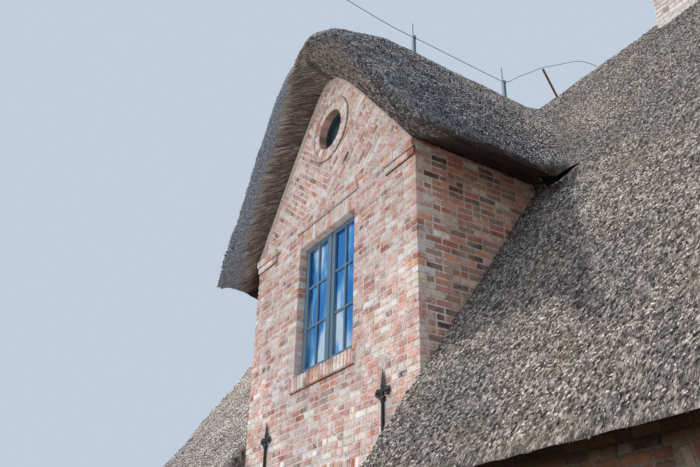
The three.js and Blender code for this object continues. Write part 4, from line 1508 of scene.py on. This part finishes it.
# %% Cheek walls
def cheek(name, side):
    """Courses from the roof to the top of the cheek, cut along the roof 0.25 m below its top."""
    wall = Wall(name, (MIDDLE + side * GABLE, FACE, 0), (0, side, 0), (side, 0, 0), MIXED)
    foot = (-(MAIN_APEX - 3.3) / MAIN_FALL - FACE) * side
    slant = 1.745  # how long the roof's slope is over a metre on the level
    roof = ((foot, 3.05), (side * -MAIN_FALL / slant, 1 / slant))
    row = math.floor(3.2 / COURSE)
    while row * COURSE < KNEE - 0.01:
        low = row * COURSE + JOINT / 2
        high = min(low + COURSE - JOINT, KNEE - 0.004)
        gap = (HEADER if row % 2 else BRICK) + JOINT - 0.004
        end = -(MAIN_APEX - high) / MAIN_FALL - FACE + 0.15
        if end > gap + 0.05 and high - low > 0.02:
            near = 0.0 if low >= KNEELER_FOOT else gap
            lo, hi = (near, end) if side > 0 else (-end, -near)
            wall.run(lo, hi, low, high, [roof])
        row += 1
    return mesh_of(wall)


cheek("cheek_bricks_right", 1)
cheek("cheek_bricks_left", -1)


# %% [markdown]
# ### The long walls and the end walls
# Their windows have soldier arches with a slight rise and brick sills. Where each one stands
# is read from its CAD frame, so the bricks always meet the openings.

# %% Long walls
def opening_at(wall, node, sizes, rise, **more):
    """The opening in this wall for a CAD frame or door."""
    low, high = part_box(node)
    middle = float(np.dot((np.array(low) + np.array(high)) / 2 - wall.start, wall.along))
    return Opening(middle, *sizes, rise, **more)


def plain_wall(name, start, along, out, length, nodes, door=None):
    """A long wall, with a low window for every frame in nodes."""
    wall = Wall(name, start, along, out, MIXED)
    holes = [opening_at(wall, node, LOW_WINDOW, 0.075) for node in nodes]
    if door:
        holes.append(opening_at(wall, door, DOOR, 0.060, sill_height=0))
    lay_courses(wall, 0, length, 0, WALL_TOP, holes, corners=(True, True))
    for hole in holes:
        arch_bricks(wall, hole)
        if hole.sill_height:
            sill_bricks(wall, hole)
    return mesh_of(wall, worn_edge=name.startswith("front"))


plain_wall("front_bricks_left", (LEFT, FRONT, 0), (1, 0, 0), (0, -1, 0), 3.323, ["front_window_left_frame"])
plain_wall("front_bricks_right", (MIDDLE + GABLE, FRONT, 0), (1, 0, 0), (0, -1, 0), 4.723,
           ["front_window_middle_frame", "front_window_right_frame"])
plain_wall("back_bricks", (RIGHT, REAR, 0), (-1, 0, 0), (0, 1, 0), 11.8,
           ["back_window_left_frame", "back_window_right_frame"], "back_door")
for side, word, y in ((-1, "left", FRONT), (1, "right", FACE)):
    inner = Wall("return_bricks_" + word, (MIDDLE + side * GABLE, y, 0), (0, -side, 0), (-side, 0, 0), MIXED)
    lay_courses(inner, 0, 0.336, 0, WALL_TOP, corners=(side < 0, side > 0), phase=1)
    mesh_of(inner)
CORNERS = [("left_front", LEFT, FRONT, -1, -1), ("right_front", RIGHT, FRONT, 1, -1),
           ("left_back", LEFT, REAR, -1, 1), ("right_back", RIGHT, REAR, 1, 1),
           ("inner_left", MIDDLE - GABLE, FRONT, 1, -1), ("inner_right", MIDDLE + GABLE, FRONT, -1, -1)]
for name, *place in CORNERS:
    corner("corner_" + name, *place, 0, WALL_TOP)


# %% [markdown]
# The end walls rise to a point under the roof. Each course up there is only as long as the
# roof leaves it room, and its two ends are cut along the slopes.

# %% End walls
def end_wall(name, x, side, nodes, upper):
    """Full courses up to the eaves, then courses cut along both slopes of the roof."""
    wall = Wall(name, (x, -side * REAR, 0), (0, side, 0), (side, 0, 0), MIXED)
    holes = [opening_at(wall, node, LOW_WINDOW, 0.075) for node in nodes]
    high = opening_at(wall, upper, UPPER_WINDOW, 0.060)
    long = math.hypot(1, MAIN_FALL)
    cuts = [((REAR, 9.180), (way * MAIN_FALL / long, -1 / long)) for way in (1, -1)]
    lay_courses(wall, 0, 2 * REAR, 0, WALL_TOP, holes, corners=(True, True), phase=1)
    for row in range(math.floor(WALL_TOP / COURSE), math.ceil(9.15 / COURSE)):
        low, top = row * COURSE, min(row * COURSE + COURSE, 9.15)
        reach = min((9.186 - low) / MAIN_FALL, REAR)
        lay_courses(wall, REAR - reach, REAR + reach, max(low, WALL_TOP), top, [high], cuts)
    for hole in holes + [high]:
        arch_bricks(wall, hole)
        sill_bricks(wall, hole)
    return mesh_of(wall, worn_edge=False)


end_wall("end_bricks_right", RIGHT, 1, ["right_end_window_front_frame", "right_end_window_back_frame"],
         "right_end_window_upper_frame")
end_wall("end_bricks_left", LEFT, -1, ["left_end_window_front_frame", "left_end_window_back_frame"],
         "left_end_window_upper_frame")


# %% [markdown]
# ### Chimney
# Four faces of paler bricks with corner blocks, and a corbelled band near the top. One face
# could be made and turned three times, but then all four would carry the same bricks. A
# fillet of mortar follows the roof where the stack meets the thatch.

# %% Chimney bricks
WHITEWASHED = [0.05, 0.25, 0.22, 0.02, 0.03, 0.0, 0.03, 0.40]


def chimney():
    """Four faces, each with its corner blocks, the band, and mortar where it meets the thatch."""
    foot, top, band = 8.85, 10.45, (10.20, 10.36)
    low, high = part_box("chimney_stack")
    x0, x1, y0, y1 = low[0] + 0.05, high[0] - 0.05, low[1] + 0.05, high[1] - 0.05
    sides = (((x0, y0), (1, 0, 0), (0, -1, 0), x1 - x0), ((x1, y0), (0, 1, 0), (1, 0, 0), y1 - y0),
             ((x1, y1), (-1, 0, 0), (0, 1, 0), x1 - x0), ((x0, y1), (0, -1, 0), (-1, 0, 0), y1 - y0))
    for i, ((x, y), along, out, length) in enumerate(sides):
        wall = Wall("chimney_bricks_%d" % (i + 1), (x, y, 0), along, out, WHITEWASHED)
        for r in range(math.floor(foot / COURSE), math.ceil(top / COURSE)):
            lo, hi = r * COURSE + JOINT / 2, min(r * COURSE + COURSE - JOINT / 2, 10.446)
            shift = (BRICK + JOINT) if (r + i) % 2 else (HEADER + JOINT)
            proud = 0.058 if band[0] < lo < band[1] else 0.008
            wall.box(-proud, shift - JOINT - 0.004, lo, hi, proud=proud, depth=0.004)
            far = length - ((HEADER + JOINT) if (r + i) % 2 else (BRICK + JOINT))
            wall.run(shift, far, lo, hi, proud=proud)
            wall.box(far + JOINT, length + proud - 0.009, lo, hi, proud=proud, depth=0.004)
        mesh_of(wall)
        fillet = Wall("chimney_fillet_%d" % (i + 1), (x, y, 0), along, out)
        steps = [length * k / 6 for k in range(7)]
        tops = [main_top(y + along[1] * u) + 0.085 for u in steps]
        steps[0], steps[-1] = -0.016, length + 0.015
        for u0, u1, z0, z1 in zip(steps, steps[1:], tops, tops[1:]):
            fillet.brick([(u0, z0 - 0.20), (u1, z1 - 0.20), (u1, z1), (u0, z0)], proud=0.016)
        mesh_of(fillet, mortar_skin, worn_edge=False)


chimney()


# %% [markdown]
# ## Casements
# Each window has two painted casements that stand a little proud of the fixed frame. A bar
# is a cube stretched to size with its edges bevelled; the bars of both leaves are joined.
# Cutting the panes out of a board would be the same shape, with none of the joiner's joints.

# %% Casement leaves
def added(make, **settings):
    """A new primitive, alone in the selection, with its place and turn made part of its mesh."""
    bpy.ops.object.select_all(action="DESELECT")
    make(**settings)
    bpy.ops.object.transform_apply(location=True, rotation=True, scale=True)
    return bpy.context.object


def bar(x0, x1, y0, y1, z0, z1, round_edge=0.005):
    piece = added(bpy.ops.mesh.primitive_cube_add, size=1, location=(0, 0, 0))
    edit(piece)
    bpy.ops.transform.resize(value=(x1 - x0, y1 - y0, z1 - z0))
    bpy.ops.transform.translate(value=((x0 + x1) / 2, (y0 + y1) / 2, (z0 + z1) / 2))
    bpy.ops.mesh.bevel(offset=round_edge, segments=2, affect="EDGES")
    leave_edit()
    return piece


def panes(half, sill, spring):
    """A sheet of glass for each leaf."""
    parts = []
    for s in (-1, 1):
        a, b = s * 0.084, s * (half - 0.104)
        parts.append(bar(min(a, b), max(a, b), 0.108, 0.114, sill + 0.114, spring - 0.064, 0.001))
    return joined(parts, "panes")


def casements(half, sill, spring, cols, rows):
    """Two leaves with their bars, the strip where they meet, and the weather bar at the foot."""
    side, middle, slim = 0.110, 0.090, 0.028
    head, foot = spring - 0.070, sill + 0.120
    leaf = half - side - middle
    w = (leaf - slim * (cols - 1)) / cols
    h = (head - foot - slim * (rows - 1)) / rows
    parts = []
    for s in (-1, 1):
        x_in, x_out = s * 0.006, s * (half - 0.048)
        inner, outer = s * middle, s * (half - side)

        def piece(a, b, *rest):
            parts.append(bar(min(a, b), max(a, b), *rest))
        piece(x_in, inner, 0.082, 0.104, sill + 0.040, spring - 0.025)
        piece(outer, x_out, 0.082, 0.104, sill + 0.040, spring - 0.025)
        piece(x_in, x_out, 0.0825, 0.104, head, spring - 0.0255)
        piece(x_in, x_out, 0.0825, 0.104, sill + 0.0405, foot)
        for c in range(1, cols):
            at = s * (middle + c * (w + slim) - slim / 2)
            piece(at - 0.0155, at + 0.0155, 0.090, 0.1595, foot - 0.01, head + 0.01)
        for r in range(1, rows):
            at = foot + r * (h + slim) - slim / 2
            piece(inner, outer, 0.091, 0.159, at - 0.0152, at + 0.0152)
    parts.append(bar(-0.020, 0.020, 0.070, 0.100, sill + 0.040, spring - 0.026, 0.006))
    parts.append(bar(-half + 0.02, half - 0.02, 0.060, 0.104, sill + 0.001, sill + 0.034, 0.008))
    return joined(parts, "casements")


# %% [markdown]
# There are three kinds of window, so three patterns are made, and each window gets a copy,
# turned to its wall. Linked copies would share one mesh; real ones can be told apart by name
# and repaired one at a time.

# %% Hang the casements
def finished(piece, name, skin):
    piece.name = name
    piece.data.materials.clear()
    piece.data.materials.append(skin)
    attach(piece, "root")
    return piece


def placed(pattern, name, turn, x, y, skin=blue_paint):
    """A copy of the pattern, turned about the upright and moved to its wall."""
    piece = twin_of(pattern, name)
    only(piece)
    piece.rotation_euler = (0, 0, turn)
    piece.location = (x, y, 0)
    bpy.ops.object.transform_apply(location=True, rotation=True, scale=True)
    return finished(piece, name, skin)


# Each pattern is a pair of casements and its panes, with the columns and rows of one leaf.
tall = (casements(*GABLE_WINDOW, 2, 3), panes(*GABLE_WINDOW))
lower = (casements(*LOW_WINDOW, 2, 2), panes(*LOW_WINDOW))
narrow = (casements(*UPPER_WINDOW, 1, 3), panes(*UPPER_WINDOW))
TURNS = {"gable": 0, "front": 0, "back": math.pi, "left": -math.pi / 2, "right": math.pi / 2}
WINDOWS = ["gable_window", "front_window_left", "front_window_middle", "front_window_right",
           "back_window_left", "back_window_right", "left_end_window_front", "left_end_window_back",
           "left_end_window_upper", "right_end_window_front", "right_end_window_back",
           "right_end_window_upper"]
for name in WINDOWS:
    turn = TURNS[name.split("_")[0]]
    leaves, sheets = narrow if name.endswith("upper") else tall if name == "gable_window" else lower
    low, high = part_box(name + "_frame")
    x, y = (low[0] + high[0]) / 2, (low[1] + high[1]) / 2
    if turn in (0, math.pi):
        y = low[1] - 0.100 if turn == 0 else high[1] + 0.100
    else:
        x = low[0] - 0.100 if turn < 0 else high[0] + 0.100
    placed(leaves, name + "_casements", turn, x, y)
    placed(sheets, name + "_panes", turn, x, y, glass_skin)
for pattern in tall + lower + narrow:
    bpy.data.objects.remove(pattern)
print("windows", len(WINDOWS))


# %% [markdown]
# ## Doors
# The entrance leaves are framed, with a raised field in every panel and a bead round it. A
# face could be inset and extruded for that, but beads are separate strips on a real door,
# and here too. A stone threshold closes the gap above the step.

# %% Panels and threshold
def panels_of(node):
    """A raised field in each of the leaf's two panels, and a bead of four bars round it."""
    low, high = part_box(node)
    x0, x1, y, z = low[0] + 0.110, high[0] - 0.110, low[1], low[2] + 0.110
    unit_height = (high[2] - low[2] - 0.330) / 2.4
    parts = []
    for share in (1.0, 1.4):
        top = z + share * unit_height
        parts.append(bar(x0 + 0.034, x1 - 0.034, y + 0.003, y + 0.020, z + 0.034, top - 0.034, 0.011))
        for a, b, c, d in ((x0, x1, z, z + 0.014), (x0, x1, top - 0.014, top)):
            parts.append(bar(a - 0.001, b + 0.001, y + 0.001, y + 0.019, c - 0.001, d + 0.001, 0.005))
        for a, b in ((x0, x0 + 0.014), (x1 - 0.014, x1)):
            parts.append(bar(a - 0.0015, b + 0.0015, y + 0.0015, y + 0.019, z, top, 0.005))
        z = top + 0.110
    return parts


leaves = panels_of("door_leaf_left") + panels_of("door_leaf_right")
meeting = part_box("door_leaf_left")[0]
leaves.append(bar(MIDDLE - 0.022, MIDDLE + 0.022, meeting[1] - 0.012, meeting[1] + 0.002,
                  meeting[2] + 0.01, 2.190, 0.006))
finished(joined(leaves, "door_panels"), "door_panels", blue_paint)
threshold = bar(MIDDLE - 0.898, MIDDLE + 0.898, FACE - 0.010, FACE + 0.146, 0.1505, 0.179, 0.006)
finished(threshold, "threshold", stone_skin)


# %% [markdown]
# The back door is a plain one of seven upright boards on two ledges. Both doors have the same
# latch, which one function makes for either side of a wall.

# %% Latches and the boarded back door
def latch(x, y, z, out):
    """A back plate, a round rose and a lever; out is -1 for the front and 1 for the back."""
    def flat_bar(x0, x1, near, far, *rest):
        a, b = y + out * near, y + out * far
        return bar(x0, x1, min(a, b), max(a, b), *rest)

    plate = flat_bar(x - 0.022, x + 0.022, 0, 0.006, z - 0.115, z + 0.105, 0.002)
    rose = added(bpy.ops.mesh.primitive_cylinder_add, vertices=20, radius=0.010, depth=0.056,
                 location=(x, y + out * 0.030, z + 0.040), rotation=(math.pi / 2, 0, 0))
    lever = flat_bar(x - 0.012, x + 0.115, 0.046, 0.060, z + 0.031, z + 0.049, 0.005)
    return joined([plate, rose, lever], "latch")


finished(latch(MIDDLE + 0.062, meeting[1] + 0.001, 1.080, -1), "entrance_latch", iron_skin)
low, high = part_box("back_door")
boards = []
count = 7
step = (high[0] - low[0]) / count
for i in range(count):
    x0, x1 = low[0] + i * step + 0.0015, low[0] + (i + 1) * step - 0.0015
    boards.append(bar(x0, x1, high[1] - 0.002, high[1] + 0.014, low[2] + 0.004, 2.142, 0.0035))
for z in (0.330, 1.780):
    boards.append(bar(low[0] + 0.012, high[0] - 0.012, high[1] + 0.010, high[1] + 0.032, z, z + 0.130, 0.006))
finished(joined(boards, "back_door_boards"), "back_door_boards", blue_paint)
finished(latch(low[0] + 0.070, high[1] + 0.013, 1.080, 1), "back_latch", iron_skin)
print("doors dressed")


# %% [markdown]
# ## Wall anchors
# A smith forged each anchor from a square bar: a leaf with a ridge down its middle, two curled
# lobes, a collar that holds them, and a shank that runs down the wall. The leaf is two
# four-sided cones, base to base; a lobe is a ring cut across by a plane, with a ball at its end.
# A flat outline, extruded, would be lighter, but forged iron is never flat.

# %% Forge an anchor
def cone_of(r, height, z, flip):
    """One half of a leaf: a flattened cone of four sides, its point up, or down if flipped."""
    piece = added(bpy.ops.mesh.primitive_cone_add, vertices=4, radius1=r, radius2=0.002, depth=height,
                  location=(0, 0, 0))
    edit(piece)
    if flip:
        bpy.ops.transform.rotate(value=math.pi, orient_axis="X", center_override=(0, 0, 0))
    bpy.ops.transform.resize(value=(1.0, 0.30, 1.0))
    bpy.ops.transform.translate(value=(0, 0, z))
    bpy.ops.mesh.bevel(offset=0.0025, segments=1, affect="EDGES")
    leave_edit()
    return piece


def curl_of(side):
    """A ring cut across by a plane, and the ball at its end."""
    curl = added(bpy.ops.mesh.primitive_torus_add, major_segments=28, minor_segments=8, major_radius=0.036,
                 minor_radius=0.0115, location=(0, 0, 0), rotation=(math.pi / 2, 0, 0))
    edit(curl)
    bpy.ops.mesh.bisect(plane_co=(side * 0.004, 0, 0.006), plane_no=(-side * 0.80, 0, 0.60), use_fill=True)
    bpy.ops.mesh.select_all(action="SELECT")
    bpy.ops.transform.translate(value=(side * 0.078, 0, 3.398))
    leave_edit()
    ball = added(bpy.ops.mesh.primitive_uv_sphere_add, segments=14, ring_count=8, radius=0.019,
                 location=(side * 0.078, 0, 3.402))
    return [curl, ball]


def anchor_pattern():
    parts = [cone_of(0.049, 0.180, 3.542, False), cone_of(0.049, 0.100, 3.402, True)]
    parts += curl_of(-1) + curl_of(1)
    parts.append(bar(-0.040, 0.040, -0.016, 0.016, 3.318, 3.350, 0.007))
    parts.append(bar(-0.030, 0.030, -0.014, 0.014, 3.296, 3.312, 0.006))
    parts.append(bar(-0.014, 0.014, -0.014, 0.014, 2.990, 3.400, 0.005))
    parts.append(cone_of(0.020, 0.070, 2.965, True))
    return joined(parts, "anchor_pattern")


forged = anchor_pattern()
for name, x in (("wall_anchor_left", MIDDLE - 1.28), ("wall_anchor_right", MIDDLE + 1.28)):
    piece = placed(forged, "forged_" + name, 0, x, FACE - 0.021, iron_skin)
    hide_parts(name)
bpy.data.objects.remove(forged)
print("anchors", len(piece.data.polygons), "faces each")
